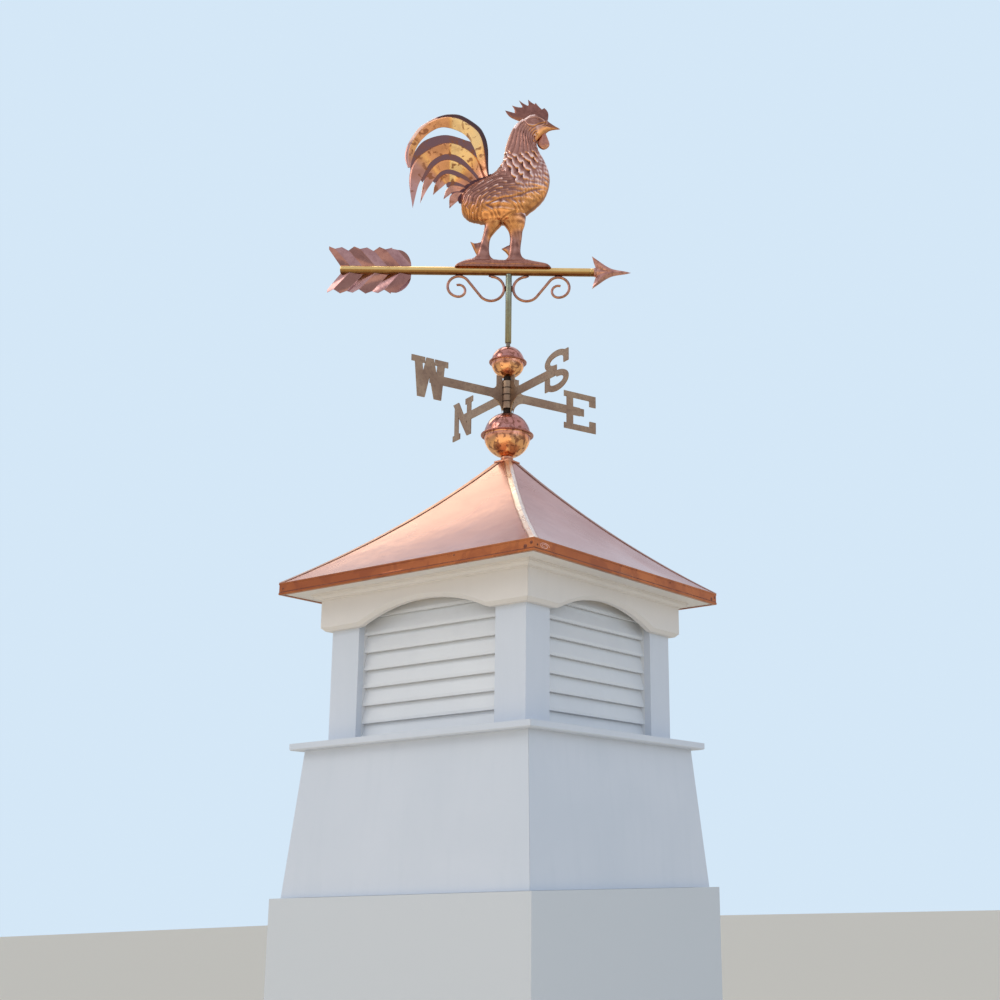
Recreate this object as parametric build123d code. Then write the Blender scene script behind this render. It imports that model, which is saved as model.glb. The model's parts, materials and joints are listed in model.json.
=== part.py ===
from build123d import *
import os
from math import acos, atan2, cos, degrees, radians, sin, sqrt

# A square barn cupola: a flared skirt, a louvred body with arched friezes, a bell-cast copper
# roof, two copper globes, four compass arms and a rooster weathervane that turns on the mast.
# Millimetres, +Z up. The origin is the centre of the bottom rim, -Y is the front.

os.makedirs("parts", exist_ok=True)

# Joints between boards
mitre_gap = 0.3          # hairline at every mitred corner
seat_gap = 0.2           # between curved pieces that seat on each other
blank = 1200             # length of a board before its mitres are cut

# Skirt and sill
base_width = 762         # outside, at the bottom rim
skirt_top_width = 704
skirt_height = 355
skirt_board = 12
sill_width = 758
sill_thickness = 17
sill_inner_width = 460
sill_drip = 3            # small bevel under the sill's nose

# Louvred body
body_width = 625         # outside of the corner posts
post_width = 92
post_board = 19
post_height = 381        # from the sill to the soffit
jamb_liner = 6           # white liner between the post's edge and the stud
jamb_depth = 30
slat_count = 8
slat_pitch = 44.7
slat_thickness = 8
slat_lean = 15           # how far a slat's top leans in
slat_overlap = 12        # height that one slat hides of the next
slat_setback = 2         # from the back of the post board to the slat's nose
slat_nose = 7            # height of the blunt lower edge
plate_height = 38        # timber that ties the stud heads together

# Frieze, crown and eave
frieze_board = 22
frieze_height = 79
arch_width = 410         # between the ends of the arch
arch_rise = 47
arch_easing = 40         # radius where the arch runs into the level ends
frieze_chamfer = 9
crown_height = 16
crown_reach = 20
crown_step = 3           # each of the small steps in its profile
soffit_thickness = 10
soffit_inner_width = 470
eave_width = 822.5       # outside of the copper drip band
eave_height = 782        # lower edge of the roof panels
band_hem = 9             # the band's bottom edge, turned in under the soffit
copper_sheet = 2.0
nailer_width = 20        # board behind the drip band

# Roof
roof_top_height = 1132
roof_top_width = 44
roof_sag = 19            # how far the roof's curve lies below a straight line
deck_thickness = 12
hip_strip = 26
hip_sheet = 1.6
cap_width = 50
cap_height = 6
collar_radius = 17

# Mast, globes and compass arms
rod_radius = 6
rod_below_block = 15
nut_height = 10
block_width = 110
block_height = 100
block_drop = 132         # from the roof's top down to the foot of the mast's block
collar_rise = 11.3       # from the cap plate to the lower globe
globe_spacing = 215      # between the globes' centres
globe_sheet = 1.6
lower_globe_radius = 64
lower_flange_radius = 72
upper_globe_radius = 46
upper_flange_radius = 52
flange_thickness = 3.5
spacer_radius = 12
knuckle_radius = 17.3
knuckle_height = 20
sleeve_radius = 9
arm_plate = 3
arm_reach = 188          # from the axis to the letter
arm_bar = 25
arm_shoulder = 18        # flat top of the plate beside the knuckles
arm_corner = 16          # radius where the shoulder runs into the bar
arm_lug = 1.8            # web between a knuckle and its plate
hub_edge = 106
letter_width = 110
letter_height = 113
letter_stroke = 22
letter_bar = 17          # thickness of serifs and level strokes
letter_serif = 9         # how far a serif stands out of its stem
north_direction = 160.5  # degrees from +X, seen from above

# Weathervane
vane_direction = 36      # degrees from +X, where the arrow points at rest
rod_clearance = 0.3
rod_tip_drop = 20        # from the arrow's underside down to the rod's tip
tube_radius = 8.75
tube_foot_gap = 6
arrow_rise = 276         # from the upper globe's centre to the arrow
arrow_radius = 12
arrow_wall = 1.6
arrow_cap = 3            # plug in each end of the arrow's tube
arrow_tail = -470
arrow_front = 243
head_tip = 346
head_barb = 236
head_waist = (288, 17.4) # where the hollow front edge lies deepest
head_span = 100
head_ridge = 15
head_edge = 2.5
fletch_length = 230
fletch_span = 141
fletch_notch = 34
fletch_pleat = 35
fletch_teeth = 5
fletch_tooth = 9         # depth of the teeth along the edge
fletch_round = (19, 0.66)  # the rounded front corner: how far back, and at what share of the height
fletch_slant = 38.5      # degrees that the folds lean back
fletch_fold = 6
fletch_sheet = 2
scroll_rod = 4
scroll_loop = 37
scroll_curl = 31
scroll_reach = 140
curl_end = 18
curl_sweep = 200         # degrees of the last, tighter turn

# Rooster, as (along the arrow, above the arrow's centre) with the arrow's tube at 0, 0.
# Each section of the body is a point on the back, the matching point below, and a half width.
rooster_sections = [((-128, 228), (-131, 186), 14),
                    ((-112, 256), (-117, 160), 30),
                    ((-88, 276), (-90, 150), 39),
                    ((-60, 294), (-48, 144), 44),
                    ((-30, 322), (2, 146), 47),
                    ((-20, 352), (58, 188), 46),
                    ((-16, 382), (104, 234), 42),
                    ((-10, 408), (118, 288), 36),
                    ((-1, 436), (104, 336), 31),
                    ((12, 460), (84, 376), 27),
                    ((32, 481), (80, 404), 24),
                    ((66, 494), (90, 424), 21),
                    ((99, 486), (108, 447), 12)]
loft_span = 4            # sections joined in one smooth run
beak_tip = ((144, 457), (144, 453), 2)
leg_width = 16
fore_leg_front = ((70, 178), (46, 133), (35, 84), (33, 58), (48, 28))
hind_leg_back = ((-79, 79), (-71, 124), (-62, 170))
hind_spur = ((-112, 28), (-96, 52), (-110, 85), (-79, 79))
leg_gap_back = ((-17, 131), (-38, 104), (-54, 68), (-48, 34))
leg_gap_spur = ((-5, 34), (-4, 48), (-23, 64), (2, 75))
leg_gap_front = ((2, 75), (0, 104), (-17, 131))
mound_low = 10
mound_line = ((122, 10), (112, 24), (81, 29), (46, 36), (-20, 33), (-98, 39), (-133, 27), (-153, 10))
mound_width = 36
mound_crown = 30         # half height of the mound's rounded section
# Tail: the outer rim, the open crescent, the tips, and the raised feathers as an outer curve
# from the root, the points of the tip, and an inner curve back to the root.
tail_rim = ((-67, 388), (-182, 498), (-302, 376))
tail_crescent = ((-260, 400), (-188, 453), (-114, 410), (-188, 428))
tail_tips = ((-293, 322), (-290, 272), (-275, 193), (-266, 271), (-254, 211), (-233, 268), (-227, 268),
             (-218, 237), (-187, 273), (-188, 224), (-173, 237), (-171, 195), (-138, 224), (-100, 226))
tail_feathers = [(((-76, 305), (-88, 410), (-126, 461), (-190, 479), (-241, 459), (-285, 400), (-292, 345)),
                  ((-283, 333), (-261, 402)),
                  ((-261, 402), (-216, 449), (-186, 455), (-134, 436), (-113, 410), (-86, 322))),
                 (((-79, 308), (-96, 356), (-141, 394), (-185, 401), (-239, 376), (-283, 330)),
                  ((-290, 272), (-275, 193), (-266, 271), (-254, 283)),
                  ((-254, 283), (-228, 337), (-184, 366), (-140, 357), (-96, 304))),
                 (((-101, 298), (-136, 332), (-177, 349), (-213, 333), (-243, 275)),
                  ((-254, 211), (-233, 268), (-221, 278)),
                  ((-221, 278), (-198, 311), (-172, 318), (-139, 306), (-114, 288))),
                 (((-123, 280), (-145, 293), (-180, 304), (-198, 294), (-213, 270)),
                  ((-218, 237), (-187, 273)),
                  ((-187, 273), (-174, 278), (-157, 279), (-130, 267))),
                 (((-130, 258), (-165, 266), (-183, 250)),
                  ((-188, 224), (-173, 237)),
                  ((-173, 237), (-160, 246), (-138, 246))),
                 (((-136, 240), (-156, 242), (-172, 232)),
                  ((-171, 195), (-138, 224)),
                  ((-138, 224), (-128, 228), (-118, 232)))]
tail_width = 10
feather_relief = 3
comb_tips = ((-16, 514), (4, 531), (24, 549), (51, 552), (73, 542), (99, 525))
comb_valleys = ((12, 503), (34, 525), (51, 531), (70, 537), (92, 520))
comb_nape = ((26, 480), (-3, 493))
comb_front = ((111, 502), (107, 480), (70, 440))
comb_hook = 0.12         # how far a spike bends back, as a share of its length
comb_width = 8
wattle_centre = (96, 405)
wattle_radii = (18.5, 17)
wattle_top = ((92, 446), (104, 446), (113, 412), (80, 412))
wattle_width = 14

mitre_inset = mitre_gap / sqrt(2)
half_body = body_width / 2
sill_top = skirt_height + sill_thickness
soffit_height = sill_top + post_height
frieze_top = soffit_height - crown_height
frieze_bottom = frieze_top - frieze_height
half_frieze = half_body + frieze_board
half_eave = eave_width / 2
opening_width = body_width - 2 * post_width
cap_top = roof_top_height + cap_height
block_foot_height = roof_top_height - block_drop
lower_globe_height = cap_top + collar_rise + sqrt(lower_globe_radius ** 2 - collar_radius ** 2)
upper_globe_height = lower_globe_height + globe_spacing
arrow_height = upper_globe_height + arrow_rise
rod_tip_height = arrow_height - arrow_radius - rod_tip_drop

sides = {"front": 0, "right": 90, "back": 180, "left": 270}
corners = {"front_right": 0, "back_right": 90, "back_left": 180, "front_left": 270}
pieces = {}


def turned(shape, degrees):
    """A copy turned about the cupola's upright axis."""
    return Rot(0, 0, degrees) * shape


def outline(*points):
    return make_face(Polyline(*points, close=True))


def mitred(board, inset=mitre_inset):
    """Cuts both ends of a front board at 45 degrees, on the lines to the centre."""
    far = blank / 2
    wedge = outline((0, -inset), (far, -inset - far), (-far, -inset - far))
    return board & extrude(wedge, 2 * blank)


def board_run(section, inset=mitre_inset):
    """A front board: a section of (outward, up) drawn along X and mitred."""
    start = Plane(origin=(blank / 2, 0, 0), x_dir=(0, -1, 0), z_dir=(-1, 0, 0))
    return mitred(extrude(start * section, blank), inset)


def four(board):
    """The same board on all four sides."""
    return [turned(board, angle) for angle in sides.values()]


def block_section(inner, outer, low, high):
    return outline((inner, low), (outer, low), (outer, high), (inner, high))


def sum_shapes(shapes):
    total = shapes[0]
    for shape in shapes[1:]:
        total += shape
    return total


def lines(points):
    """Straight edges from point to point."""
    return [Line(a, b) for a, b in zip(points, points[1:])]


def upright_plate(face, thickness):
    """A face drawn in (along, up) made into a plate that stands in the middle plane."""
    return extrude(Plane.XZ * face, thickness / 2, both=True)


def make_skirt():
    foot = base_width / 2
    head = skirt_top_width / 2
    section = outline((foot, 0), (head, skirt_height), (head - skirt_board, skirt_height),
                      (foot - skirt_board, 0))
    board = board_run(section)
    for name, angle in sides.items():
        pieces["skirt_" + name] = turned(board, angle)


def make_sill():
    nose = sill_width / 2
    section = outline((sill_inner_width / 2, skirt_height), (nose - sill_drip, skirt_height),
                      (nose, skirt_height + sill_drip), (nose, sill_top), (sill_inner_width / 2, sill_top))
    pieces["sill_boards"] = four(board_run(section))


def make_posts():
    """Corner posts are boards in an L round a stud; liners close the gap to the louvres."""
    outer = half_body
    post = outline((outer, -outer), (outer, -outer + post_width), (outer - post_board, -outer + post_width),
                   (outer - post_board, -outer + post_board), (outer - post_width, -outer + post_board),
                   (outer - post_width, -outer))
    board = extrude(Pos(0, 0, sill_top) * post, post_height)
    for name, angle in corners.items():
        pieces["corner_post_" + name] = turned(board, angle)
    inner = opening_width / 2 + jamb_liner
    width = outer - post_board - inner
    stud_height = post_height - plate_height
    place = inner + width / 2
    stud = Pos(place, -place, sill_top + stud_height / 2) * Box(width, width, stud_height)
    pieces["corner_studs"] = four(stud)
    plate = block_section(inner, outer - post_board, soffit_height - plate_height, soffit_height)
    pieces["top_plates"] = four(board_run(plate))
    liner = Pos(inner - jamb_liner / 2, -outer + post_board + jamb_depth / 2, sill_top + stud_height / 2)
    jamb = liner * Box(jamb_liner, jamb_depth, stud_height)
    pieces["louvre_jambs"] = four(jamb) + four(mirror(jamb, Plane.YZ))


def make_louvres():
    """Slats that lean in at the top, with a blunt nose that throws the shadow line."""
    nose = half_body - post_board - slat_setback
    rise = slat_pitch + slat_overlap
    back = slat_thickness * sqrt(1 + (slat_lean / rise) ** 2)
    section = outline((nose, 0), (nose, slat_nose), (nose - slat_lean, rise), (nose - slat_lean - back, rise),
                      (nose - back, 0))
    length = opening_width - 2 * seat_gap
    start = Plane(origin=(length / 2, 0, 0), x_dir=(0, -1, 0), z_dir=(-1, 0, 0))
    slat = extrude(start * section, length)
    room = soffit_height - plate_height - sill_top
    slats = []
    for index in range(slat_count):
        low = index * slat_pitch
        whole = Pos(0, 0, sill_top + low) * slat
        keep = Pos(0, -nose, sill_top + room / 2) * Box(blank, 4 * slat_lean, room)
        slats.append(whole & keep)
    for name, angle in sides.items():
        pieces["louvre_slats_" + name] = [turned(slat, angle) for slat in slats]


def make_friezes():
    """A board with a segmental arch in its lower edge, eased into level ends and chamfered."""
    radius = (arch_width ** 2 / 4 + arch_rise ** 2) / (2 * arch_rise)
    centre = frieze_bottom + arch_rise - radius
    front = Pos(0, (frieze_bottom + frieze_top) / 2) * Rectangle(blank, frieze_height)
    front -= Pos(0, centre) * Circle(radius)
    eased = [v for v in front.vertices() if abs(abs(v.X) - arch_width / 2) < 1 and v.Y < frieze_top - 1]
    front = fillet(eased, arch_easing)
    board = extrude(Plane(origin=(0, -half_body, 0), x_dir=(1, 0, 0), z_dir=(0, -1, 0)) * front, frieze_board)
    lower = [e for e in board.edges()
             if abs(e.center().Y + half_frieze) < 0.01 and e.center().Z < frieze_top - 1
             and abs(e.center().X) < blank / 2 - 1]
    board = mitred(chamfer(lower, frieze_chamfer))
    for name, angle in sides.items():
        pieces["frieze_" + name] = turned(board, angle)


def make_eave():
    """Crown moulding, soffit, the nailer behind the drip band and the band itself."""
    step = crown_step
    reach, low = half_frieze + crown_reach, frieze_top
    foot = Vector(half_frieze + step, low + step)
    head = Vector(reach - 2 * step, soffit_height - 2 * step)
    belly = (foot + head) * 0.5 + Vector(step, -step) * 0.5
    upper = [(head.X, head.Y), (reach - step, head.Y), (reach - step, soffit_height - step),
             (reach, soffit_height - step), (reach, soffit_height), (half_body, soffit_height)]
    lower = [(half_body, soffit_height), (half_body, low), (foot.X, low), (foot.X, foot.Y)]
    moulding = make_face(lines(upper) + lines(lower) + [ThreePointArc(foot, belly, head)])
    pieces["crown_mouldings"] = four(board_run(moulding))
    top = soffit_height + soffit_thickness
    edge = half_eave - copper_sheet
    pieces["soffit_boards"] = four(board_run(block_section(soffit_inner_width / 2, edge, soffit_height, top)))
    below_deck = roof_region(copper_sheet + deck_thickness, blank)
    nailer = block_section(edge - nailer_width, edge, top, roof_top_height) & below_deck
    pieces["eave_nailers"] = four(board_run(nailer))
    low = soffit_height - copper_sheet
    band = block_section(edge, half_eave, low, roof_top_height) & roof_region(copper_sheet, blank)
    hem = block_section(half_eave - band_hem, half_eave, low, soffit_height)
    pieces["drip_bands"] = four(board_run(band + hem))


def roof_arc():
    """Centre and radius of the roof's concave curve, in (outward, up)."""
    foot = Vector(half_eave, eave_height)
    head = Vector(roof_top_width / 2, roof_top_height)
    chord = head - foot
    radius = (chord.length ** 2 / 4 + roof_sag ** 2) / (2 * roof_sag)
    away = Vector(chord.Y, -chord.X).normalized()
    return (foot + head) * 0.5 + away * (radius - roof_sag), radius


def roof_region(depth_from, depth_to, inner=0.0, top=roof_top_height):
    """What lies between two depths under the roof's curve, out to the eave."""
    centre, radius = roof_arc()
    ring = Circle(radius + depth_to) - Circle(radius + depth_from)
    if depth_to >= blank:
        ring = Circle(radius + 2 * blank) - Circle(radius + depth_from)
    window = block_section(inner, half_eave, 0, top)
    return (Pos(centre.X, centre.Y) * ring) & window


def make_roof():
    panel = board_run(roof_region(0, copper_sheet))
    for name, angle in sides.items():
        pieces["roof_panel_" + name] = turned(panel, angle)
    deck_edge = half_eave - copper_sheet
    deck_section = roof_region(copper_sheet, copper_sheet + deck_thickness)
    deck_section &= block_section(0, deck_edge, 0, roof_top_height)
    hole = Cylinder(rod_radius + seat_gap, 3 * roof_top_height)
    pieces["roof_deck"] = four(board_run(deck_section) - hole)
    strip_layer = board_run(roof_region(-hip_sheet, 0), 0)
    hips = []
    for angle in corners.values():
        corner_band = Rot(0, 0, -45) * Pos(blank / 2, 0, 0) * Box(blank, hip_strip, 4 * blank)
        strip = (strip_layer + turned(strip_layer, 90)) & corner_band
        hips.append(turned(strip, angle))
    pieces["hip_strips"] = hips
    plate = Pos(0, 0, roof_top_height + cap_height / 2) * Box(cap_width, cap_width, cap_height)
    collar = Pos(0, 0, cap_top + collar_rise / 2) * Cylinder(collar_radius, collar_rise)
    hole = Pos(0, 0, cap_top) * Cylinder(rod_radius + seat_gap, 2 * collar_rise + 2 * cap_height)
    pieces["roof_cap"] = plate + collar - hole


def globe_flat(radius, seat_radius):
    """Height above a globe's centre of the small flat that seats on a collar."""
    return sqrt(radius ** 2 - seat_radius ** 2)


def globe(radius, flange_radius, height, seat_low, seat_high):
    """Two spun half shells joined at a flange, with a flat at each pole for its collar."""
    low = globe_flat(radius, seat_low)
    high = globe_flat(radius, seat_high)
    between = Pos(0, 0, (high - low) / 2)
    ball = Sphere(radius) & (between * Box(3 * radius, 3 * radius, low + high))
    ball += Cylinder(flange_radius, flange_thickness)
    rim = ball.edges().filter_by(GeomType.CIRCLE).sort_by(SortBy.RADIUS)[-2:]
    ball = fillet(rim, flange_thickness * 0.4)
    ball -= Sphere(radius - globe_sheet) & (between * Box(3 * radius, 3 * radius, low + high - 2 * globe_sheet))
    return Pos(0, 0, height) * (ball - Cylinder(rod_radius + seat_gap, 3 * radius))


def make_mast():
    inner = roof_region(copper_sheet + deck_thickness + seat_gap, blank)
    peak = sum_shapes(four(board_run(inner, 0)))
    low = block_foot_height
    box = Pos(0, 0, low + block_height / 2) * Box(block_width, block_width, block_height)
    pieces["mast_block"] = (box & peak) - Pos(0, 0, low) * Cylinder(rod_radius + seat_gap, blank)
    foot = low - rod_below_block
    rod = Pos(0, 0, (foot + rod_tip_height) / 2) * Cylinder(rod_radius, rod_tip_height - foot)
    rod = chamfer(rod.edges().group_by(Axis.Z)[-1], rod_radius * 0.4)
    nut = extrude(RegularPolygon(2 * rod_radius, 6), nut_height)
    pieces["mast_rod"] = rod + Pos(0, 0, low - nut_height) * nut
    pieces["lower_globe"] = globe(lower_globe_radius, lower_flange_radius, lower_globe_height,
                                  collar_radius, spacer_radius)
    pieces["upper_globe"] = globe(upper_globe_radius, upper_flange_radius, upper_globe_height,
                                  spacer_radius, spacer_radius)


def knuckle_foot():
    """Height of the lowest knuckle: the stack is centred between the globes."""
    return hub_middle() - 2 * knuckle_height


def hub_middle():
    low = lower_globe_height + globe_flat(lower_globe_radius, spacer_radius)
    high = upper_globe_height - globe_flat(upper_globe_radius, spacer_radius)
    return (low + high) / 2 + seat_gap


def make_hub():
    """The sleeve that carries the knuckles, and the spacer on top of them."""
    low = lower_globe_height + globe_flat(lower_globe_radius, spacer_radius)
    high = upper_globe_height - globe_flat(upper_globe_radius, spacer_radius)
    foot = knuckle_foot()
    top = foot + 4 * knuckle_height
    shoulder = Pos(0, 0, (low + foot) / 2) * Cylinder(spacer_radius, foot - low)
    neck = Pos(0, 0, (low + top) / 2) * Cylinder(sleeve_radius, top - low)
    bore = Pos(0, 0, (low + high) / 2) * Cylinder(rod_radius + seat_gap, 2 * (high - low))
    pieces["hub_sleeve"] = shoulder + neck - bore
    pieces["hub_spacer"] = Pos(0, 0, (top + high) / 2) * Cylinder(spacer_radius, high - top) - bore


def letter(name):
    """A slab-serif letter of the compass, centred, read with X to the right."""
    w, h, t, bar, serif = letter_width / 2, letter_height / 2, letter_stroke, letter_bar, letter_serif
    stem = w - serif - t / 2
    slab = Rectangle(t + 2 * serif, bar)
    if name == "north":
        stems = Pos(-stem, 0) * Rectangle(t, 2 * h) + Pos(stem, 0) * Rectangle(t, 2 * h)
        slabs = Pos(-stem, bar / 2 - h) * slab + Pos(stem, h - bar / 2) * slab
        return stems + slabs + outline((-w, h), (t / 2 - stem, h), (stem + t / 2, -h), (stem - t / 2, -h))
    if name == "east":
        shape = Pos(-stem, 0) * Rectangle(t, 2 * h) + Pos(-w / 4, 0) * Rectangle(w, t)
        for level in (-1, 1):
            shape += Pos(0, level * (h - bar / 2)) * Rectangle(2 * w, bar)
            shape += Pos(w - t / 2, level * (h - bar)) * Rectangle(t, 2 * bar)
        return shape
    if name == "west":
        foot = w / 4
        shape = outline((-stem - t / 2, h), (-stem + t / 2, h), (-foot, -h), (-foot - t, -h))
        shape += outline((-t / 2, h), (t / 2, h), (-foot, -h), (-foot - t, -h))
        shape += outline((-t / 2, h), (t / 2, h), (foot + t, -h), (foot, -h))
        shape += outline((stem - t / 2, h), (stem + t / 2, h), (foot + t, -h), (foot, -h))
        return shape + Pos(-stem, h - bar / 2) * slab + Pos(stem, h - bar / 2) * slab
    middle = (h - bar / 2) / 2 + bar / 4
    outer = Ellipse(w, h - middle)
    bowl = Pos(0, middle) * (outer - Ellipse(w - t, h - middle - bar))
    upper = bowl - outline((0, middle), (2 * w, middle), (2 * w, -h), (0, -h))
    upper += Pos(w - t / 2, h - 1.5 * bar) * Rectangle(t, 2 * bar)
    return upper + Rot(0, 0, 180) * upper


def make_arms():
    """Four plates that hinge round the mast, each with its letter and its own knuckle."""
    edge = knuckle_radius + 2 * seat_gap
    bar = arm_bar / 2
    flare = hub_edge / 2
    shoulder = edge + arm_shoulder
    letter_root = arm_reach + letter_width / 2
    root = edge + flare - bar
    top = lines([(edge, -flare), (edge, flare), (shoulder, flare), (shoulder, bar + arm_corner)])
    end = lines([(shoulder + arm_corner, bar), (letter_root, bar), (letter_root, -bar), (root, -bar)])
    plate = make_face(top + [CenterArc((shoulder + arm_corner, bar + arm_corner), arm_corner, 180, 90)]
                      + end + [CenterArc((root, -flare), flare - bar, 90, 90)])
    arms = (("west", 90, 1), ("south", 180, 2), ("east", 270, 3), ("north", 0, 0))
    for name, turn, level in arms:
        sign = letter(name)
        if name in ("north", "west"):
            sign = mirror(sign, Plane.YZ)
        flat = plate + Pos(letter_root, 0) * sign
        middle = hub_middle()
        low = knuckle_foot() + level * knuckle_height + seat_gap / 2
        height = knuckle_height - seat_gap
        level_middle = Pos(0, 0, low + height / 2)
        ring = level_middle * (Cylinder(knuckle_radius, height) - Cylinder(sleeve_radius + seat_gap, height))
        lug = level_middle * (Pos((knuckle_radius + edge) / 2, 0) * Box(edge - knuckle_radius + 4, arm_lug, height))
        blade = Pos(0, 0, middle) * upright_plate(flat, arm_plate)
        pieces["direction_arm_" + name] = turned(blade + ring + lug, north_direction + turn)


def make_arrow():
    """The vane's upright tube, the arrow's tube, its head, its pleated flights and scrolls."""
    foot = upper_globe_height + globe_flat(upper_globe_radius, spacer_radius) + tube_foot_gap
    bore_top = rod_tip_height + rod_clearance
    tube = Pos(0, 0, (foot + arrow_height) / 2) * Cylinder(tube_radius, arrow_height - foot)
    tube -= Pos(0, 0, (foot + bore_top) / 2) * Cylinder(rod_radius + rod_clearance, bore_top - foot)
    middle = Pos((arrow_tail + arrow_front) / 2, 0, arrow_height) * Rot(0, 90, 0)
    length = arrow_front - arrow_tail
    shaft = middle * Cylinder(arrow_radius, length)
    vane("vane_tube", tube - shaft)
    vane("arrow_tube", shaft - middle * Cylinder(arrow_radius - arrow_wall, length - 2 * arrow_cap))
    vane("arrow_head", Pos(0, 0, arrow_height) * arrow_head())
    make_flights(shaft)
    make_scrolls()


def arrow_head():
    """Two pressed halves: swept barbs, hollow front edges and a ridge that thins to the tip."""
    half = head_span / 2
    waist = Vector(*head_waist)
    low_waist = Vector(waist.X, -waist.Y)
    back = [(head_barb, half), (arrow_front, arrow_radius), (arrow_front, -arrow_radius), (head_barb, -half)]
    flat = make_face(lines(back) + [ThreePointArc((head_barb, -half), low_waist, (head_tip, 0)),
                                    ThreePointArc((head_tip, 0), waist, (head_barb, half))])
    across = outline((0, head_ridge / 2), (half, head_edge / 2), (half, -head_edge / 2),
                     (0, -head_ridge / 2), (-half, -head_edge / 2), (-half, head_edge / 2))
    start = Plane(origin=(head_barb - half, 0, 0), x_dir=(0, 0, 1), z_dir=(1, 0, 0))
    seen_from_above = outline((head_barb, head_ridge / 2), (head_tip, head_edge / 2),
                              (head_tip, -head_edge / 2), (head_barb, -head_ridge / 2))
    ridge = extrude(start * across, 2 * head_span + half)
    return upright_plate(flat, head_span) & ridge & extrude(seen_from_above, half, both=True)


def vane(name, shape):
    """Files a piece drawn with the arrow along +X, turned to where the arrow rests."""
    if isinstance(shape, list):
        pieces[name] = [turned(s, vane_direction) for s in shape]
    else:
        pieces[name] = turned(shape, vane_direction)


def make_flights(shaft):
    """Corrugated flights above and below the arrow: folds that slant back, cut to an outline."""
    tail = arrow_tail - fletch_notch
    front = tail + fletch_length
    half = fletch_span / 2
    low = half - fletch_tooth
    teeth = [(tail + index * fletch_pleat / 2, half if index % 2 else low) for index in range(2 * fletch_teeth + 1)]
    back, share = fletch_round
    nose = ThreePointArc(teeth[-1], (front - back, half * share), (front, arrow_radius))
    flat = make_face(lines(teeth) + [nose] + lines([(front, arrow_radius), (arrow_tail, arrow_radius), teeth[0]]))
    folds = range(int(fletch_length / fletch_pleat) + 8)
    bends = [(tail + (index - 0.5) * fletch_pleat, fletch_fold if index % 2 else -fletch_fold) for index in folds]
    sheet = outline(*[(x, y + fletch_sheet / 2) for x, y in bends],
                    *[(x, y - fletch_sheet / 2) for x, y in reversed(bends)])
    slant = radians(fletch_slant)
    pleats = extrude(sheet, fletch_span, dir=Vector(-sin(slant), 0, cos(slant)))
    upper = pleats & upright_plate(flat, 8 * fletch_fold)
    upper = Pos(0, 0, arrow_height) * upper - shaft
    vane("arrow_flights", [upper, Pos(0, 0, 2 * arrow_height) * mirror(upper, Plane.XY)])


def make_scrolls():
    """A wave of round rod each side of the tube: a loop against the tube and a curled loop."""
    top = -arrow_radius - seat_gap - scroll_rod
    loop = Vector(tube_radius + seat_gap + scroll_rod + scroll_loop, top - scroll_loop)
    curl = Vector(scroll_reach, top - scroll_curl)
    between = curl - loop
    spread = degrees(acos((scroll_loop + scroll_curl) / between.length))
    leave = degrees(atan2(between.Y, between.X)) - spread
    join = leave + 180
    last = curl - Vector(0, scroll_curl - curl_end)
    wire = Wire([CenterArc(loop, scroll_loop, 90, leave + 270),
                 Line(loop + polar(scroll_loop, leave), curl + polar(scroll_curl, join)),
                 CenterArc(curl, scroll_curl, join, -join - 90),
                 CenterArc(last, curl_end, -90, -curl_sweep)])
    start = wire @ 0
    section = Plane(origin=(start.X, start.Y, 0), x_dir=(0, 0, 1), z_dir=wire % 0) * Circle(scroll_rod)
    right = Pos(0, 0, arrow_height) * (Rot(90, 0, 0) * sweep(section, path=wire))
    vane("scrollwork", [right, mirror(right, Plane.YZ)])


def polar(length, angle):
    return Vector(length * cos(radians(angle)), length * sin(radians(angle)))


def body_section(upper, lower, half_width):
    """An ellipse between a point of the back and the matching point of the breast or belly."""
    top, low = Vector(upper[0], 0, upper[1]), Vector(lower[0], 0, lower[1])
    rise = (top - low).normalized()
    plane = Plane(origin=(top + low) * 0.5, x_dir=rise, z_dir=Vector(rise.Z, 0, -rise.X))
    return plane * Ellipse((top - low).length / 2, half_width)


def make_rooster():
    """A hollow copper bird pressed in two halves, its legs standing on a mound along the arrow."""
    sections = [body_section(*row) for row in rooster_sections]
    spans = range(0, len(sections) - 1, loft_span)
    body = sum_shapes([loft(sections[first:first + loft_span + 1]) for first in spans])
    beak = loft([body_section(*rooster_sections[-1]), body_section(*beak_tip)], ruled=True)
    groove = Rot(0, 90, 0) * Cylinder(arrow_radius + seat_gap, blank)
    bird = body + beak + make_legs() + make_mound() - groove
    lift = Pos(0, 0, arrow_height)
    vane("rooster_body", lift * bird)
    vane("rooster_tail", lift * (make_tail() - bird))
    vane("rooster_comb", lift * (make_comb() - bird))


def make_legs():
    """Both legs in one plate: the outline round them with its spur, less the arch between them."""
    front, back = Spline(*fore_leg_front), Spline(*hind_leg_back)
    foot = [fore_leg_front[-1], *hind_spur]
    around = make_face([front] + lines(foot) + [back] + lines([hind_leg_back[-1], fore_leg_front[0]]))
    gap = make_face([Spline(*leg_gap_back)] + lines([leg_gap_back[-1], *leg_gap_spur]) + [Spline(*leg_gap_front)])
    return upright_plate(around - gap, leg_width)


def make_mound():
    """The mound under the feet, long and low, rounded across."""
    side = make_face([Spline(*mound_line)] + lines([mound_line[-1], mound_line[0]]))
    start = Plane(origin=(-blank / 2, 0, mound_low), x_dir=(0, 1, 0), z_dir=(1, 0, 0))
    return upright_plate(side, mound_width) & extrude(start * Ellipse(mound_width / 2, mound_crown), blank)


def feather(outer, tip, inner):
    """A feather between two curves, closed by its tip and its root."""
    sides = zip((outer[-1],) + tip, tip)
    return make_face([Spline(*outer)] + [Line(a, b) for a, b in sides] + [Spline(*inner), Line(inner[-1], outer[0])])


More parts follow.
